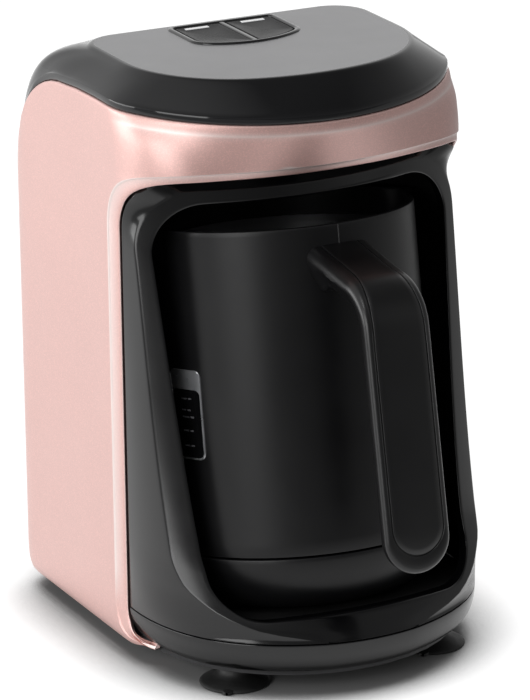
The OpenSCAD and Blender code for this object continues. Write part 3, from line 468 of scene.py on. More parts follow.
# strip: place across the edge strip as a share of its width, and depth under the plain face. The ridge
# and shoulder weights paint highlight lines along the strip's ridge and the band's shoulder crease.
shell = {
    "strip": [(0.4, 4.6), (0.12, 2.9), (0.02, 2.2), (0.0, 1.75), (0.035, 1.4), (0.1, 1.18), (0.27, 1.02),
        (0.6, 0.84), (0.88, 0.66), (0.93, 0.56), (0.965, 0.3), (0.99, 0.06), (1.02, 0), (1.1, 0)],
    "sideStrip": 8.3, "bandStrip": 3.4, "ridgeHighlight": [(0.1, 0.0), (0.3, 0.1), (0.6, 0.3), (0.9, 0.5),
        (0.96, 0.8), (1.02, 0.8), (1.1, 0)], "topRound": [(-1.3, 0.0), (-0.7, 0.06), (-0.3, 0.25),
        (-0.08, 0.55), (0.0, 1.0), (-0.2, 3.6)], "toeAngles": [*range(90, 9, -8), 4, 0], "turnAngles": [4, 8,
        13, *range(18, 79, 6)], "bandShares": [0.06, 0.13, 0.21, *(0.1 * k for k in range(3, 11))],
    "lowRows": [8, 8.5, 9.2, 10, 11.2, 12.8, 15, 18, 22, 26], "sideRows": [32, 40, 50, 62,
        *range(76, 157, 16), 170, 180, 188], "turnRows": [191, 194, 196.997], "fixedRows": 142,
    "liftSpan": (226, 241), "ridgeSpan": (20, 42), "narrowSpan": (0.3, 1.35), "toeSpan": (-2, 18),
    "shoulderSpan": (0, 12), "faceRows": 9, "shoulder": [241.2, 241.9, 242.4, 243.0, 243.8, 244.6],
    "shoulderHighlight": [0.1, 0.3, 0.55, 0.35, 0.1, 0.0], "toePivot": (2, -6.26), "toeReach": 78, "toeRise": 3,
    "sidePlaces": [9.13, 10.5, 13, 17, 23, 30, 39, 48, 57, 65, 72],
    "rearPlaces": [*(0.08 * k for k in range(12)), 0.94, 1.0], "thickness": 1.4}


def toePoint(y, z, depth):  # the painted toe that wraps under the base's front corners
    mix = smoothStep(-y, *shell["toeSpan"])
    turn = between(lookup(z, caseTurn), lookup(z, ringTurn), mix)
    px, py = shell["toePivot"]
    if y > py:
        return (housing["halfWidth"] - turn - depth, y, z)
    reach = shell["toeReach"] - turn
    a = asin(max(-1.0, (y - py) / reach))
    return (px + (reach - depth) * cos(a), py + (reach - depth) * sin(a), z)


def toeFoot(y):
    return housing["shellFoot"] + shell["toeRise"] * smoothStep(-y, -4.2, housing["toe"] + 1)


def curveEdge(a, reach, foot, rise):  # a place on an elliptic corner curve and the curve's normal there
    ny, nz = cos(a) / reach, sin(a) / rise
    size = hypot(ny, nz)
    return reach * (cos(a) - 1), foot + rise * sin(a), ny / size, nz / size


def toeEdge(a):  # with the width of the strip there
    y, z, ny, nz = curveEdge(a, housing["toe"], housing["seam"], housing["baseFoot"] - housing["seam"])
    return y, z, ny, nz, shell["sideStrip"] * min(1.0, max(0.0, (z - toeFoot(y)) / 11))


def turnEdge(a):  # on the shell's upper corner curve
    return curveEdge(a, housing["turnY"], housing["turnZ"], housing["bandFoot"] - housing["turnZ"])


def bandPoint(y, z, depth):
    line = caseOutline(z)
    return inward(line, np.interp(y, line[1], line[2]), depth) + (z,)


def frontPoint(x, z, depth):
    px, py = (part[:flankEnd] for part in caseOutline(z)[:2])
    dy = float(np.interp(min(x + 0.4, 79), px, py) - np.interp(abs(x - 0.4), px, py)) if x else 0.0
    size = hypot(0.8, dy)
    return (x - dy / size * depth, float(np.interp(x, px, py)) + 0.8 / size * depth, z)


def upperRows(start, tip):
    shoulder = [z + tip - housing["rim"] for z in shell["shoulder"]]
    face = [between(start, shoulder[0], k / shell["faceRows"]) for k in range(shell["faceRows"])]
    return face + shoulder + [tip + shell["topRound"][0][0]]


def shellColumn(s, rows, tip, lift=0.0):  # lift carries the shoulder up with the joint
    line = [alongOutline(caseOutline(z - lift * smoothStep(z, *shell["liftSpan"])), s) + (z,) for z in rows]
    return line + [alongOutline(caseOutline(tip + dz), s, depth) + (tip + dz,)
                   for dz, depth in shell["topRound"][1:]]


def addShell():
    across = shell["strip"]
    last = across[-1][0]
    strip = []  # columns across the edge strip, from its inner return to the plain face
    for a in shell["toeAngles"]:
        y, z, ny, nz, wide = toeEdge(radians(a))
        deep = min(1.0, wide / 8)
        strip.append([toePoint(y + e * wide * ny, z + e * wide * nz, d * deep) for e, d in across])
    for z in shell["sideRows"] + shell["turnRows"]:
        turn = lookup(z, caseTurn)
        strip.append([(housing["halfWidth"] - turn - d, e * shell["sideStrip"], z) for e, d in across])
    inner, places = [], []
    for a in shell["turnAngles"]:
        y, z, ny, nz = turnEdge(radians(a))
        wide = between(shell["sideStrip"], shell["bandStrip"], smoothStep(radians(a), *shell["narrowSpan"]))
        strip.append([bandPoint(y + e * wide * ny, z + e * wide * nz, d) for e, d in across])
        inner.append(z + last * wide * nz)
        places.append(placeOnOutline(caseOutline(inner[-1]), y=y + last * wide * ny))
    lastX = strip[-1][-1][0]
    for x in [lastX * (1 - t) for t in shell["bandShares"]]:
        foot = bandEdge(frontPoint(x, housing["bandFoot"], 0)[1])
        strip.append([frontPoint(x, foot + e * shell["bandStrip"], d) for e, d in across])
        inner.append(foot + last * shell["bandStrip"])
        places.append(placeOnOutline(caseOutline(inner[-1]), x=x))
    # painted highlight along the strip's ridge, fading in above the foot
    paintedHighlight = [lookup(e, shell["ridgeHighlight"]) * smoothStep(line[0][2], *shell["ridgeSpan"])
              for line in strip for e, d in across]

    firstPlace = 1 + shell["sidePlaces"][0] / housing["sideEnd"]
    firstTip = jointOn(firstPlace, caseOutline)
    firstUpper = upperRows(housing["turnZ"], firstTip)
    band = [shellColumn(firstPlace, firstUpper, firstTip, firstTip - housing["rim"])]
    for s, z in zip(places, inner):
        tip = jointOn(s, caseOutline)
        band.append(shellColumn(s, upperRows(z, tip), tip, tip - housing["rim"]))
    # painted highlight along the band's shoulder crease, towards the front
    shares = [0.0] * shell["faceRows"] + shell["shoulderHighlight"] + [0.0] * len(shell["topRound"])
    paintedHighlight += [share * smoothStep(-line[0][1], *shell["shoulderSpan"]) for line in band for share in shares]

    side = []
    fixed = shell["fixedRows"]  # rows above it follow the joint down towards the back
    allRows = shell["lowRows"] + shell["sideRows"] + shell["turnRows"][:-1] + firstUpper
    for s in [1 + y / housing["sideEnd"] for y in shell["sidePlaces"]] + [2 + t for t in shell["rearPlaces"]]:
        tip = jointOn(s, caseOutline)
        share = (tip - fixed) / (firstTip - fixed)
        side.append(shellColumn(s, [z if z < fixed else between(fixed, z, share) for z in allRows], tip))

    toe = []
    lowest, highest = shell["lowRows"][0], shell["lowRows"][-1]
    for a in reversed(shell["toeAngles"]):
        y, z, ny, nz, wide = toeEdge(radians(a))
        y, z = y + last * wide * ny, z + last * wide * nz
        foot = min(toeFoot(y), z)
        toe.append([toePoint(y, between(foot, z, (row - lowest) / (highest - lowest)), 0)
                    for row in shell["lowRows"]])
    addPiece("painted_shell", joinParts([weave(strip), weave(band), weave(side), weave(toe)]), "rose_paint",
             "housing", ["outer_shell"], crease=50, thickness=shell["thickness"], mirror=True, paintedHighlight=paintedHighlight)


addShell()
print("painted shell made")

# Cap

# Rows give height and depth; flatEdge gives inset and drop below the top.
cap = {
    "lip": 3.5, "reach": 52.3, "arc": 87.8, "corner": 35.8, "width": 79.8, "gap": 0.2,
    "shoulderOutline": (67.8, 37.0, 105, 55, 67.4, 18), "shoulderEnd": 49.2, "shoulderDrop": 1.4,
    "lowRows": [(0.3, 4.0), (0.1, 1.2), (0.35, 0.6), (0.8, 0.35)], "lipRows": [(-0.7, 0.35), (-0.25, 0.45),
        (0, 0.8)], "bevelStart": (1.3, 0.25), "bevelSwell": 0.1, "bevelRows": 12, "hoodTurn": 78,
    "hoodSpan": (1.3, 2.3), "flatEdge": [(0.75, 0.85), (1.5, 0.3), (2.3, 0.06), (3.2, 0.0)],
    "frontPlaces": [0, 0.05, *(0.1 + 0.06 * k for k in range(15))], "sidePlaces": [0, 0.08, 0.17, 0.27, 0.37,
        0.47, 0.57, 0.67, 0.76, 0.84, 0.92], "flatRows": 7, "field": (26.2, -22.8, 40.2, 9.2, 62.2, 4.2),
    "thickness": 1.6}


def capOutline(z):
    key = ("cap", round(z, 3))
    if key not in keptOutlines:
        keptOutlines[key] = halfOutline(cap["width"], cap["reach"], cap["arc"], cap["corner"],
                                        hood(z) - cap["gap"], housing["backCorner"])
    return keptOutlines[key]


def capColumn(s):  # from the hidden foot over the lip and the bevel to the flat top
    shoulderLine, end = halfOutline(*cap["shoulderOutline"]), cap["shoulderEnd"]
    tip = jointOn(min(s, 3), capOutline)
    lip = tip + cap["lip"]
    line = []
    for z, depth in ([(tip + dz, depth) for dz, depth in cap["lowRows"]]
                     + [(lip + dz, depth) for dz, depth in cap["lipRows"]]):
        line.append(alongOutline(capOutline(z), s, depth) + (z,))
    depth, rise = cap["bevelStart"]
    start = alongOutline(capOutline(lip), s, depth) + (lip + rise,)
    stop = alongOutline(shoulderLine, s, sideEnd=end) + (housing["top"] - cap["shoulderDrop"],)
    hoodPart, full = smoothStep(s, *cap["hoodSpan"]), radians(cap["hoodTurn"])
    for k in range(cap["bevelRows"] + 1):
        v = k / cap["bevelRows"]
        over, up = (1 - cos(v * full)) / (1 - cos(full)), sin(v * full) / sin(full)
        across = between(v, over, hoodPart)
        upward = v + cap["bevelSwell"] * v * (1 - v) * (1 - hoodPart) + (up - v) * hoodPart
        line.append(tuple(map(between, start, stop, (across, across, upward))))
    for inset, drop in cap["flatEdge"]:
        line.append(alongOutline(shoulderLine, s, inset, sideEnd=end) + (housing["top"] - drop,))
    return line


def addCap():
    field = halfOutline(*cap["field"])
    places = (cap["frontPlaces"] + [1 + t for t in cap["sidePlaces"]]
              + [2 + t / 16 for t in range(16)] + [3 + t / 8 for t in range(9)])
    columns, flat = [], []
    for s in places:
        columns.append(capColumn(s))
        x, y, z = columns[-1][-1]
        length = field[2][-1]
        place = s / 4 * (length + field[0][-1])
        fx, fy = onLine(field, min(place, length))
        fx -= max(0.0, place - length)
        flat.append(spread((x, y, housing["top"]), (fx, fy, housing["top"]), cap["flatRows"]))
    addPiece("cap_sides", weave(columns), "cap_black", "housing", ["top_cap"], crease=40,
             thickness=cap["thickness"], mirror=True)
    # the flat top takes the satin finish with its painted sheen
    addPiece("cap_flat", weave(flat), "cap_black", "housing", crease=40, thickness=cap["thickness"],
             mirror=True, finish="cap_satin_painted_sheen")


addCap()
print("cap made")

# Front frame. The crease runs round its flat face; outside it the wall turns back to the painted shell.

frontFrame = {
    "reach": [(26, 84.4), (32, 79.8), (40, 73.8), (50, 66.8), (61, 61), (200, 33), (222, 28.4)],
    "creaseX": [(26, 20), (32, 48), (40, 64), (50, 72), (61, 74), (200, 76.7), (222, 77.1)],
    "creaseY": [(26, 82), (32, 69), (40, 54), (50, 42), (61, 35.3), (200, 9), (222, 4.8)], "bow": [(26, 19),
        (32, 10), (40, 5), (50, 2.2), (61, 1.2), (120, 0.6), (190, 0), (222, 0)], "foot": 26.3,
    "footPlaces": [0, 6, 12, 17], "footHeights": [26.3, 26.7, 27.4, 28.5, 30, 32, 34.2, 36.5, 38.9, 41.3,
        43.7, 46.2, 48.8, 51.4, 54.2, 57], "heights": [60, 66, 74, *range(84, 169, 12), 178, 185, 190],
    "arcAngles": [7.5 * k for k in range(1, 13)], "topPlaces": [44, 36, 27, 18, 9, 0], "mouthPlaces": [0, 8,
        16, 24, 32, 38, 42], "mouthLow": 50, "mouthFoot": 62, "mouthTop": 70, "mouthArc": 19,
    "mouthCorner": 22, "lowCorner": 20, "floorPlace": (-16.4, 27.4), "arcX": 51, "arcZ": 190,
    "creaseRise": 25.0, "lip": 1.3, "wallEnd": (77.8, -1.3), "hiddenEnd": (76.0, 5.0), "hiddenDepth": 3.6,
    "valley": (5, 5.5), "cornerEdge": (-1.3, 2.2), "cornerEnd": (3.0, 4.4), "slope": 0.152,
    "mouthDepths": (6.5, 3.5), "faceShares": [0, 0.2, 0.4, 0.6, 0.8, 0.93, 1], "faceStart": 2.2, "across": [0,
        0.06, *(0.12 + 0.08 * k for k in range(10)), 0.9, 0.95, 1], "footRound": [(26.3, 0), (26.12, 0.1),
        (26.05, 0.35), (26.05, 3)], "creaseRound": 0.9, "roundSpan": (27, 45), "slopeSpan": (56, 100),
    "backSpan": (50, 80), "hiddenFrom": 73}


def facePoint(x, z):  # on the front frame's flat face
    f, xe, ye = (easeLookup(z, frontFrame[key]) for key in ("reach", "creaseX", "creaseY"))
    s = f - ye
    r = (xe * xe + s * s) / (2 * s)
    return x, r - f - sqrt(r * r - x * x), z


def mouthPoint(x, rise):  # at the opening's foot, above the niche's sloping floor
    floorY, floorZ = frontFrame["floorPlace"]
    z = floorZ
    for _ in range(12):
        z = floorZ + (floorY - facePoint(x, z)[1]) * tan(leanAngle) + rise / cos(leanAngle)
    return facePoint(x, z)


def edgePlace(a, e, depth):  # on the painted shell's upper corner curve, e outside its edge
    y, z, ny, nz = turnEdge(a)
    return bandPoint(y + e * ny, z + e * nz, depth)


def frameLines():  # opening, crease, back line and hidden end, place by place from the foot to the top
    look = frontFrame
    arcZ, top = look["arcZ"], look["arcZ"] + look["mouthArc"]
    (wallX, wallY), (endX, endY), (backY, backZ) = look["wallEnd"], look["hiddenEnd"], look["valley"]
    hiddenZ = housing["bandFoot"] + 1
    mouth = [mouthPoint(x, 0) for x in look["mouthPlaces"]]
    steps = len(look["footHeights"]) - 3
    for k in range(1, steps + 1):
        a = radians(90 * k / steps)
        mouth.append(mouthPoint(look["mouthPlaces"][-1] + look["lowCorner"] * sin(a),
                                look["lowCorner"] * (1 - cos(a))))
    crease = [facePoint(x, look["foot"]) for x in look["footPlaces"]]
    for z in look["footHeights"] + look["heights"]:
        crease.append((easeLookup(z, look["creaseX"]), -easeLookup(z, look["creaseY"]), z))
    low = look["mouthLow"]
    for z in look["heights"]:
        z = between(low, top - look["mouthCorner"], (z - low) / (arcZ - low))
        mouth.append(facePoint(between(look["mouthFoot"], look["mouthTop"], (z - low) / (arcZ - low)), z))
    back = [(wallX, wallY, p[2]) for p in crease]
    end = [(endX, endY, p[2]) for p in crease]
    breadth = easeLookup(arcZ, look["creaseX"]) - look["arcX"]
    for theta in look["arcAngles"]:
        a = radians(theta)
        mouth.append(facePoint(look["mouthTop"] + look["mouthCorner"] * (cos(a) - 1),
                               top + look["mouthCorner"] * (sin(a) - 1)))
        x, y, z = facePoint(look["arcX"] + breadth * cos(a), arcZ + look["creaseRise"] * sin(a))
        crease.append((x, y, z))
        turn, height = radians(max(0.0, theta - 12) * 1.15), arcZ + theta * 7 / 12
        atEdge = edgePlace(turn, *look["cornerEdge"]) if turn else (wallX, wallY, height)
        back.append(blend(atEdge, (x, y + backY, z + backZ), smoothStep(theta, *look["backSpan"])))
        if theta >= look["hiddenFrom"]:
            end.append(frontPoint(x, hiddenZ, look["hiddenDepth"]))
        else:
            end.append(edgePlace(turn, *look["cornerEnd"]) if turn else (endX, endY, height))
    for x in look["topPlaces"]:
        mouth.append(facePoint(x, top))
        crease.append(facePoint(x, arcZ + look["creaseRise"]))
        back.append((x, crease[-1][1] + backY, crease[-1][2] + backZ))
        end.append(frontPoint(x, hiddenZ, look["hiddenDepth"]))
    return mouth, crease, back, end


def footLine():  # the front frame's lower edge seen from above, middle to side joint
    z = frontFrame["foot"]
    line = [facePoint(x, z)[:2] for x in frontFrame["footPlaces"]]
    start = (easeLookup(z, frontFrame["creaseX"]), -easeLookup(z, frontFrame["creaseY"]), z)
    before = facePoint(start[0] - 0.5, z)
    return line + [p[:2] for p in wallLine(before, start, frontFrame["wallEnd"] + (z,), 0.5)]


def wallPoint(a, b, m):  # between crease and back line, with the wall's bow
    x, y, z = blend(a, b, m)
    bow = 4 * m * (1 - m) * easeLookup(z, frontFrame["bow"])
    if bow == 0:
        return x, y, z
    size = hypot(b[0] - a[0], b[1] - a[1])
    return x + bow * (b[1] - a[1]) / size, y - bow * (b[0] - a[0]) / size, z


def wallLine(before, c, b, start):  # from the face over the rounded crease to the back line
    first = start / dist(c, b)
    after = wallPoint(c, b, first)
    turn = (0, 0.14, 0.28, 0.42, 0.58, 0.72, 0.86)
    line = [blend(blend(before, c, t), blend(c, after, t), t) for t in turn]
    return line + [wallPoint(c, b, between(first, 1, m)) for m in frontFrame["across"]]


def insetLine(line, depth):  # a line seen from above, moved inwards
    moved = []
    for i, (x, y) in enumerate(line):
        (ax, ay), (bx, by) = line[max(0, i - 1)], line[min(len(line) - 1, i + 1)]
        dx, dy = bx - ax, by - ay
        if i == 0:
            dx, dy = 1.0, 0.0
        size = hypot(dx, dy)
        moved.append((x - dy / size * depth, y + dx / size * depth))
    return moved


def addFrontFrame():
    mouth, crease, back, end = frameLines()
    lip = frontFrame["lip"]
    face, wall = [], []
    for i, (m, c) in enumerate(zip(mouth, crease)):
        length = hypot(c[0] - m[0], c[2] - m[2])
        bend = 0.5 + (frontFrame["creaseRound"] - 0.5) * smoothStep(c[2], *frontFrame["roundSpan"])
        slope = frontFrame["slope"] * (1 - smoothStep(m[2], *frontFrame["slopeSpan"]))
        line = [(m[0], m[1] + b, m[2] - slope * b) for b in (*frontFrame["mouthDepths"], lip)]

        def across(share):
            return facePoint(between(m[0], c[0], share), between(m[2], c[2], share))

        for a in map(radians, (67, 45, 22, 0)):
            x, y, z = across(lip * (1 - sin(a)) / length)
            line.append((x, y + lip * (1 - cos(a)), z - slope * lip * (1 - cos(a))))
        walled = i >= len(frontFrame["footPlaces"])
        first, last = frontFrame["faceStart"] / length, 1 - bend / length if walled else 1
        line += [across(between(first, last, h)) for h in frontFrame["faceShares"]]
        face.append(line)
        if walled:
            b, e = back[i], end[i]
            wall.append(wallLine(line[-1], c, b, bend) + [blend(b, e, t) for t in (0.06, 0.3, 0.6)] + [e])
    foot = footLine()
    edge = [[(x, y, z) for x, y in insetLine(foot, depth)] for z, depth in frontFrame["footRound"]]
    addPiece("front_frame", joinParts([weave(face), weave(wall), weave(edge)]), "gloss_black", "housing",
             ["front_fascia"], crease=48, mirror=True, finish="frame_black")


addFrontFrame()
print("front frame made")

# Rows give height and how much further in they lie than the corner's rounding
base = {
    "rows": [(25.55, 3), (25.55, 0.4), (25.45, 0.1), (25.2, 0), (23, 0), (20.5, 0), (18, 0), (16, 0),
        (14.3, 0), (12.9, 0), (11.9, 0), (11.3, 0), (11, 0), (11.1, 1.2), (11.3, 4)], "steps": 34,
    "gap": 0.75, "tail": (-3, 0.3)}


def addBase():
    foot = footLine()
    rows = []
    for z, extra in base["rows"]:
        x, y = np.array(insetLine(foot, lookup(z, ringTurn) + extra)).T
        run = runAlong(x, y)
        rise = min(1.0, max(0.0, (housing["seam"] - z) / (housing["seam"] - housing["baseFoot"])))
        stop = housing["toe"] * (sqrt(1 - rise * rise) - 1) - base["gap"]
        full = float(np.interp(stop, y, run))
        row = [onLine((x, y, run), full * k / base["steps"]) + (z,) for k in range(base["steps"] + 1)]
        rows.append(row + [(row[-1][0] + base["tail"][0], row[-1][1] + base["tail"][1], z)])
    addPiece("base_front", weave(rows), "gloss_black", "housing", ["base_ring"], crease=48, mirror=True,
             finish="frame_black")


addBase()
print("base made")

# Pot: wall with two pouring lips, and its base under the seam

# wallRows give height and how far they stand off the cone, baseTop gives these the other way round
pot = {
    "rim": 60.0, "seamRadius": 60.8, "seam": 141.6, "foot": 167.0, "footRadius": 42.0, "lipReach": 6.4,
    "lipBreadth": 7.5, "lipDrop": 30, "lipFade": 1.4, "wallRows": [(-13, -2.5), (-4, -2.5), (-0.9, -2.5),
        (-0.3, -2.25), (-0.06, -1.7), (0, -1.25), (-0.06, -0.8), (-0.35, -0.2), (-1, 0), (-2.5, 0), (-5, 0),
        (-8, 0), (-12, 0), (-16, 0), (-21, 0), (-27, 0), (-35, 0), (-50, 0), (-70, 0), (-90, 0), (-110, 0),
        (-125, 0), (-135, 0), (-140.6, 0), (-141, -0.12), (-141.2, -0.6), (-141.25, -2.4)],
    "baseTop": [(-2.4, -141.95), (-0.6, -142), (-0.12, -142.2)], "baseMiddle": [38, 20, 0.5],
    "baseAngles": [2.5, 6, 12, 18, 25, 32, 40, 48, 56, 64, 72, 80, 86, 90], "lineHeights": [-0.6, -2, -4, -6,
        -9], "lineShape": [(-0.45, -0.05), (-0.15, 0.22), (0.15, 0.22), (0.45, -0.05)]}


def potRadius(z):
    return between(pot["rim"], pot["seamRadius"], -z / pot["seam"])


def addPot():
    angles = [radians(a) for a in sorted({*range(0, 181, 4), *range(70, 111, 2)})]

    def ring(z, radiusAt):
        return [fromPot((radiusAt(a) * sin(a), -radiusAt(a) * cos(a), z)) for a in angles]

    def lipAt(a, z):
        fade = max(0.0, 1 + z / pot["lipDrop"]) ** pot["lipFade"]
        return pot["lipReach"] * exp(-(pot["rim"] * cos(a) / pot["lipBreadth"]) ** 2) * fade

    wall = [ring(z, lambda a: potRadius(z) + inset + lipAt(a, z)) for z, inset in pot["wallRows"]]
    span, fall = pot["seamRadius"] - pot["footRadius"], pot["foot"] - pot["seam"]
    below = [(pot["seamRadius"] + inset, z) for inset, z in pot["baseTop"]]
    below += [(pot["footRadius"] + span * cos(radians(a)), -pot["seam"] - fall * sin(radians(a)))
              for a in pot["baseAngles"]]
    below += [(radius, -pot["foot"]) for radius in pot["baseMiddle"]]
    ridge = [[fromPot((x, -pot["rim"] - d, z)) for x, d in pot["lineShape"]] for z in pot["lineHeights"]]
    addPiece("pot_wall", weave(wall), "pot_black", "pot", ["pot_shell"], crease=40, mirror=True)
    addPiece("pot_foot", weave([ring(z, lambda a: radius) for radius, z in below]), "pot_black", "pot",
             ["pot_base"], crease=40, mirror=True)
    addPiece("pot_mould_line", weave(ridge), "pot_black", "pot")


addPot()
print("pot made")

# Handle: a half section swept down the arm and round its free end

grip = {
    "half": 15.0, "deep": 15.0, "start": 57.6, "topAt": 60, "top": -8.5, "fall": 16.0, "slant": 2.6,
    "bend": 24.0, "bendAt": (85.8, -40.9), "fanAt": -123.0, "endAt": -128.0, "panel": 12.1, "edge": 2.3,
    "armPanel": 8.8, "armEdge": 5.4, "neck": 10.6, "rootDeep": 22.0, "inner": 3.6, "crown": 0.9,
    "armSteps": 9, "bendSteps": 14, "fallSteps": 12, "fanSteps": 18, "panelShape": [(-0.55, 0.38),
        (-0.38, 0.5), (-0.28, 0.95), (0.12, 0.95), (0.24, 0.5), (0.45, 0.42)], "edgeDrop": 0.55,
    "rootSpan": (60, 72), "armSpan": (88, 128), "edgeAngles": [12, 25, 38, 52, 65, 78, 90],
    "innerAngles": [70, 50, 30, 10]}


def gripLine():  # stations down the outer face: place as distance and height, outward direction
    fall, slant, upright = radians(grip["fall"]), radians(grip["slant"]), radians(90)
    (cx, cz), r = grip["bendAt"], grip["bend"]
    x0, z0 = grip["start"], grip["top"] - (grip["start"] - grip["topAt"]) * tan(fall)
    x1, z1 = cx + r * sin(fall), cz + r * cos(fall)
    line = [p + (sin(fall), cos(fall)) for p in spread((x0, z0), (x1, z1), grip["armSteps"])[:-1]]
    for k in range(grip["bendSteps"] + 1):
        a = between(upright - fall, slant, k / grip["bendSteps"])
        line.append((cx + r * cos(a), cz + r * sin(a), cos(a), sin(a)))
    x0, z0 = line[-1][:2]
    for k in range(1, grip["fallSteps"] + 1):
        z = between(z0, grip["fanAt"], k / grip["fallSteps"])
        line.append((x0 + (z0 - z) * tan(slant), z, cos(slant), sin(slant)))
    return line


def gripSection(reach, deep, panel, outer):  # distance from the middle, depth under the outer face
    inner, drop = grip["inner"], grip["edgeDrop"]
    neck = reach - grip["half"] + grip["neck"]
    section = [(0, 0), (panel * 0.4, 0.05), (panel * 0.75, 0.2)]
    section += [(panel + out, depth) for out, depth in grip["panelShape"]] + [(reach - outer, drop)]
    for a in map(radians, grip["edgeAngles"]):
        section.append((reach - outer * (1 - sin(a)), drop + outer * (1 - cos(a))))
    section += [(reach - 0.5, 0.42 * deep), (reach - 1.5, 0.58 * deep), (neck + 0.4, deep - inner - 0.4)]
    for a in map(radians, grip["innerAngles"]):
        section.append((neck - inner * (1 - sin(a)), deep - inner * (1 - cos(a))))
    return section + [(neck * 0.4, deep), (0, deep)]


def addGrip():
    columns = []
    line = gripLine()
    for distance, height, nd, nz in line:
        root = 1 - smoothStep(distance, *grip["rootSpan"])
        deep = between(grip["deep"], grip["rootDeep"], root)
        arm = 1 - smoothStep(distance - height * 0.35, *grip["armSpan"])
        panel = between(grip["panel"], grip["armPanel"], arm)
        edge = between(grip["edge"], grip["armEdge"], arm)
        columns.append([fromPot((reach, -(distance - nd * depth), height - nz * depth))
                        for reach, depth in gripSection(grip["half"], deep, panel, edge)])
    distance, height, nd, nz = line[-1]
    drop = grip["fanAt"] - grip["endAt"]
    for k in range(1, grip["fanSteps"] + 1):  # the free end, fanned round the middle line
        a = radians(90 * k / grip["fanSteps"])
        if tan(a) < drop / grip["half"]:
            reach = grip["half"] / cos(a)
        else:
            reach = drop * sin(a) + sqrt(grip["half"] ** 2 - drop ** 2 * cos(a) ** 2)
        column = []
        for out, depth in gripSection(reach, grip["deep"], grip["panel"], grip["edge"]):
            down = out * sin(a)
            depth += grip["crown"] * (down / 20) ** 2 * (1 - depth / grip["deep"])
            column.append(fromPot((out * cos(a), -(distance + nz * down - nd * depth),
                                   height - nd * down - nz * depth)))
        columns.append(column)
    addPiece("handle", weave(columns), "grip_black", "pot", ["grip", "grip_inlay"], crease=60, mirror=True)


addGrip()
print("handle made")

# Level gauge: a silver frame with a tab, a dark field and plain marks

# Marks give height and length
gauge = {
    "turn": 73.0, "half": 9.4, "top": -60.0, "foot": -99.0, "corner": 3.2, "line": 0.75, "tab": 8.5,
    "proud": 0.6, "level": 0.3, "fieldShares": [1.0, 0.75, 0.5, 0.25, 0.02], "marks": [(-72.5, 3.4),
        (-77.5, 2.4), (-80.5, 4.2), (-86.5, 3.4), (-93.0, 3.4)], "markLeft": -2.6, "markGap": (1.8, 0.2),
    "markHalf": 0.35, "markProud": 0.36}


def onPotWall(across, z, proud):
    a, radius = radians(gauge["turn"]) - across / potRadius(z), potRadius(z) + proud
    return fromPot((-radius * sin(a), -radius * cos(a), z))


def roundedLoop(half, top, foot, corner, steps=8):
    loop = []
    for cx, cz, start in ((half - corner, top - corner, 0), (-half + corner, top - corner, 90),
                          (-half + corner, foot + corner, 180), (half - corner, foot + corner, 270)):
        for k in range(steps + 1):
            a = radians(start + 90 * k / steps)
            loop.append((cx + corner * cos(a), cz + corner * sin(a)))
    dense = []
    for here, there in zip(loop, loop[1:] + loop[:1]):
        dense += spread(here, there, max(1, int(dist(here, there) / 2.5)))[:-1]
    return dense


def addGauge():
    top, foot, proud = gauge["top"], gauge["foot"], gauge["proud"]
    outer = roundedLoop(gauge["half"], top, foot, gauge["corner"])
    low, high = foot + gauge["line"], top - gauge["tab"]
    narrow = 1 - gauge["line"] / gauge["half"]
    field = [(x * narrow, between(low, high, (z - foot) / (top - foot))) for x, z in outer]
    middle, fieldMiddle = (top + foot) / 2, (high + low) / 2
    rings = [[onPotWall(x, z, -0.3) for x, z in outer], [onPotWall(x, z, 0.4) for x, z in outer],
             [onPotWall(x * 0.985, between(middle, z, 0.993), proud) for x, z in outer],
             [onPotWall(x, z, proud) for x, z in field], [onPotWall(x, z, 0.25) for x, z in field]]
    addPiece("gauge_frame", weave(rings, closed=True), "gauge_silver", "pot", ["level_gauge"], crease=40)
    rings = [[onPotWall(x * share, between(fieldMiddle, z, share), gauge["level"]) for x, z in field]
             for share in gauge["fieldShares"]]
    addPiece("gauge_field", weave(rings, closed=True), "gloss_black", "pot", crease=40)
    marks = []
    start, half, (before, after) = gauge["markLeft"], gauge["markHalf"], gauge["markGap"]
    for z, length in gauge["marks"]:
        for left, right in ((start, start + length), (length - before, length + after)):
            marks.append(weave([[onPotWall(between(left, right, k / 3), z + h, gauge["markProud"])
                                 for k in range(4)] for h in (-half, half)]))
    addPiece("gauge_marks", joinParts(marks), "sensor_grey", "pot")


addGauge()
print("gauge made")

# Keys and the frame round them

# Shapes give inset, place across the middle or share of the key, and height
keys = {
    "outline": (26.0, -23.0, 40.0, 9.0, 62.0, 4.0), "rim": 2.4, "gap": 0.45, "divider": 1.2, "level": 263.95,
    "rimShape": [(-0.45, -1.4), (-0.4, -0.25), (-0.1, 0.3), (0.35, 0.62), (1.0, 0.76), (1.7, 0.7),
        (2.15, 0.45), (2.35, 0.0), (2.4, -1.6)], "barShape": [(1.2, -1.6), (1.2, 0.1), (0.95, 0.38),
        (0.5, 0.45), (0, 0.45)], "barSteps": 30, "keyShape": [(1.0, -1.6), (0.999, -0.35), (0.985, -0.08),
        (0.965, 0.02), (0.93, -0.02), (0.84, -0.16), (0.7, -0.32), (0.5, -0.45), (0.3, -0.52), (0.1, -0.55),
        (0.01, -0.55)]}


def keyOutline(inset):
    line = halfOutline(*[part - inset for part in keys["outline"]])
    return [onLine(line, place) for place in np.linspace(0, line[2][-1], 60)]


def keyLoop():
    x = keys["divider"] + keys["gap"]
    side = [p for p in keyOutline(keys["rim"] + keys["gap"]) if p[0] > x + 0.3]
    low, high = side[0][1], side[-1][1]
    return side + spread(side[-1], (x, high), 8)[1:-1] + spread((x, high), (x, low), 24)


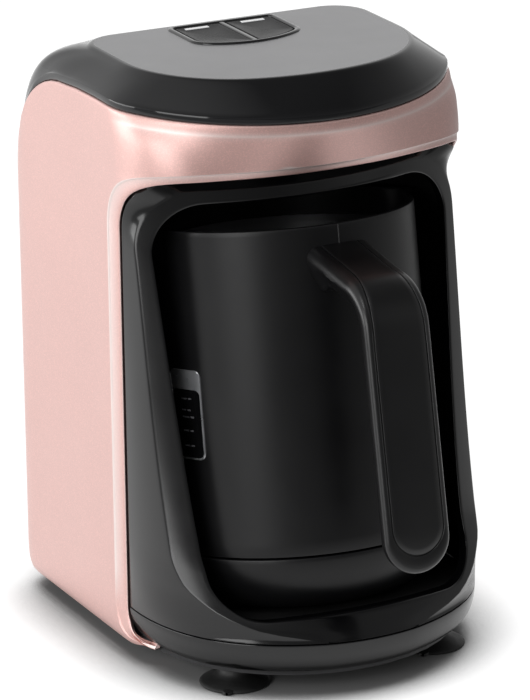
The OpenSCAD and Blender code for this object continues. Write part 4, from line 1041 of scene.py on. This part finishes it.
def addKeys():
    rows = [[(x, y, housing["top"] + dz) for x, y in keyOutline(inset)] for inset, dz in keys["rimShape"]]
    rows = [row + spread(row[-1], (0, *row[-1][1:]), 10)[1:] for row in rows]
    outline = keyOutline(keys["rim"] - 0.2)
    front, behind = outline[0][1], outline[-1][1]
    bar = [spread((x, front, housing["top"] + dz), (x, behind, housing["top"] + dz), keys["barSteps"])
           for x, dz in keys["barShape"]]
    addPiece("key_frame", joinParts([weave(rows), weave(bar)]), "gloss_black", "housing", ["button_frame"],
             crease=50, mirror=True)
    loop = keyLoop()
    cx, cy = (sum(values) / len(loop) for values in zip(*loop))
    for side, name, node in ((-1, "left_key", "left_button"), (1, "right_key", "right_button")):
        rings = [[(side * between(cx, x, share), between(cy, y, share), keys["level"] + dz)
                  for x, y in loop] for share, dz in keys["keyShape"]]
        addPiece(name, weave(rings, closed=True), "button_black", node, [node], crease=50)


addKeys()
print("keys made")

# Feet

# profile gives radius and height; tab gives reach and half width, tabRing side and height
feet = {
    "places": [(47.6, -42.5), (-47.6, -42.5), (47.6, 83.96), (-47.6, 83.96)], "tabTurn": 232, "steps": 48,
    "profile": [(0, 0.3), (11.5, 0.25), (14.9, 0), (15.4, 0.25), (15.5, 0.6), (15.2, 1.05), (14, 1.6),
        (11.6, 2.5), (9.4, 3.4), (7.9, 4.4), (6.9, 5.5), (6.55, 6.6), (6.5, 7.6), (6.7, 8.0), (6.5, 8.4),
        (6.5, 9), (0, 9)], "tab": [(11, 2.6), (14.6, 2.7), (16.0, 2.3), (17.0, 1.5), (17.4, 0.6)],
    "tabRing": [(-1, 0.4), (-0.8, 1.5), (0, 1.75), (0.8, 1.5), (1, 0.4), (0, 0.2)]}


def addFeet():
    parts = []
    turns = [radians(360 * k / feet["steps"]) for k in range(feet["steps"])]
    for x, y in feet["places"]:
        rows = [[(x + radius * cos(a), y + radius * sin(a), z) for a in turns]
                for radius, z in feet["profile"]]
        parts.append(weave(rows, closed=True))
        a = radians(feet["tabTurn"] if y < 0 else -feet["tabTurn"])
        tab = [[(x + out * cos(a) - side * half * sin(a), y + out * sin(a) + side * half * cos(a), z)
                for side, z in feet["tabRing"]] for out, half in feet["tab"]]
        parts.append(weave(tab, closed=True))
    addPiece("rubber_feet", joinParts(parts), "foot_rubber", "housing", ["foot_cups"], crease=45)


addFeet()
print("feet made")

# Light, floor and backdrop

studio = {
    "worldLevel": 0.2, "ceiling": 0.2, "leftCeiling": 0.9, "ceilingTurn": (-0.5, 0.1),
    "ceilingStart": (0.45, 0.85), "nearWay": (-0.42, -0.85, 0), "nearSide": 0.25, "nearTurn": (0.3, 0.75),
    "nearFloor": (0.2, 0.4), "farWay": (0.9, -0.44, 0), "farSide": 0.4, "farTurn": (0.1, 0.8),
    "farFloor": (0.2, 0.38), "floorColour": (0.3, 0.3, 0.3), "floorBounce": (0.2, 0.2, 0.2), "floorHalf": 12,
    "contactReach": 0.055, "contactSpan": (0.43, 0.8), "contactSamples": 16}

# Name, place, target, size and power
lamps = [("key", (-1.8, -0.95, 0.6), (0, 0, 0.13), (1.1, 1.5), 20),
         ("side", (-1.7, 0.9, 0.36), (0, 0, 0.13), (1.6, 0.7), 12.5),
         ("top", (-0.72, -0.46, 1.5), (0, 0, 0.25), (0.5, 0.36), 3)]


def addLamp(name, place, target, size, power):
    data = bpy.data.lights.new(name, "AREA")
    data.shape = "RECTANGLE"
    data.size, data.size_y = size
    data.energy = power
    lamp = addObject(name, data)
    lamp.location = place
    lamp.rotation_euler = (Vector(target) - Vector(place)).to_track_quat("-Z", "Y").to_euler()


def sideLevel(tree, place, farSpan, nearSpan, smooth):  # what gloss sees is dimmer on two sides
    levels = []
    for side, span in (("far", farSpan), ("near", nearSpan)):
        toward = addNode(tree, "ShaderNodeVectorMath", {0: place, 1: studio[side + "Way"]},
                         operation="DOT_PRODUCT").outputs["Value"]
        levels.append(mapValue(tree, toward, span, 1.0, studio[side + "Side"], smooth))
    return combine(tree, *levels)


def addWorld():
    world = bpy.data.worlds.new("studio")
    tree = clearTree(world)
    path = addNode(tree, "ShaderNodeLightPath").outputs
    seen = combine(tree, path["Is Camera Ray"], path["Is Glossy Ray"], "MAXIMUM")
    seen = combine(tree, seen, path["Is Transmission Ray"], "MAXIMUM")
    plain = addNode(tree, "ShaderNodeBackground", {"Color": (1, 1, 1, 1), "Strength": studio["worldLevel"]})
    place = addNode(tree, "ShaderNodeTexCoord").outputs["Generated"]
    way = addNode(tree, "ShaderNodeSeparateXYZ", {"Vector": place}).outputs
    ceiling = mapValue(tree, way["X"], studio["ceilingTurn"], studio["leftCeiling"], studio["ceiling"])
    height = mapValue(tree, way["Z"], studio["ceilingStart"], 1.0, ceiling)
    sides = sideLevel(tree, place, studio["farTurn"], studio["nearTurn"], False)
    level = combine(tree, combine(tree, height, sides), path["Is Camera Ray"], "MAXIMUM")
    white = addNode(tree, "ShaderNodeBackground", {"Color": (1, 1, 1, 1), "Strength": level})
    mix = addNode(tree, "ShaderNodeMixShader", {0: seen, 1: plain.outputs[0], 2: white.outputs[0]})
    addNode(tree, "ShaderNodeOutputWorld", {"Surface": mix.outputs[0]})
    bpy.context.scene.world = world


def addFloor():
    finish = bpy.data.materials.new("floor")
    tree = clearTree(finish)
    path = addNode(tree, "ShaderNodeLightPath").outputs
    seen = combine(tree, path["Is Camera Ray"], path["Is Glossy Ray"], "MAXIMUM")
    matt = addNode(tree, "ShaderNodeBsdfDiffuse", {"Color": shade(studio["floorColour"], 1)})
    place = addNode(tree, "ShaderNodeTexCoord").outputs["Object"]
    sides = sideLevel(tree, place, studio["farFloor"], studio["nearFloor"], True)
    level = combine(tree, sides, path["Is Camera Ray"], "MAXIMUM")
    # A contact shadow painted on the floor from ambient occlusion round the object's foot.
    paintedContactShadow = addNode(tree, "ShaderNodeAmbientOcclusion", {"Distance": studio["contactReach"]},
                      samples=studio["contactSamples"]).outputs["AO"]
    level = combine(tree, level, mapValue(tree, paintedContactShadow, studio["contactSpan"], 0.0, 1.0))
    lift = addNode(tree, "ShaderNodeEmission", {"Color": (1, 1, 1, 1), "Strength": level})
    both = addNode(tree, "ShaderNodeAddShader", {0: matt.outputs[0], 1: lift.outputs[0]})
    dim = addNode(tree, "ShaderNodeBsdfDiffuse", {"Color": shade(studio["floorBounce"], 1)})
    mix = addNode(tree, "ShaderNodeMixShader", {0: seen, 1: dim.outputs[0], 2: both.outputs[0]})
    addNode(tree, "ShaderNodeOutputMaterial", {"Surface": mix.outputs[0]})
    half = studio["floorHalf"]
    mesh = bpy.data.meshes.new("floor")
    corners = [(-half, -half, 0), (half, -half, 0), (half, half, 0), (-half, half, 0)]
    mesh.from_pydata(corners, [], [(0, 1, 2, 3)])
    mesh.materials.append(finish)
    addObject("floor", mesh)


addWorld()
addFloor()
for lamp in lamps:
    addLamp(*lamp)
bpy.context.scene.view_settings.view_transform = "Standard"
print("studio set")
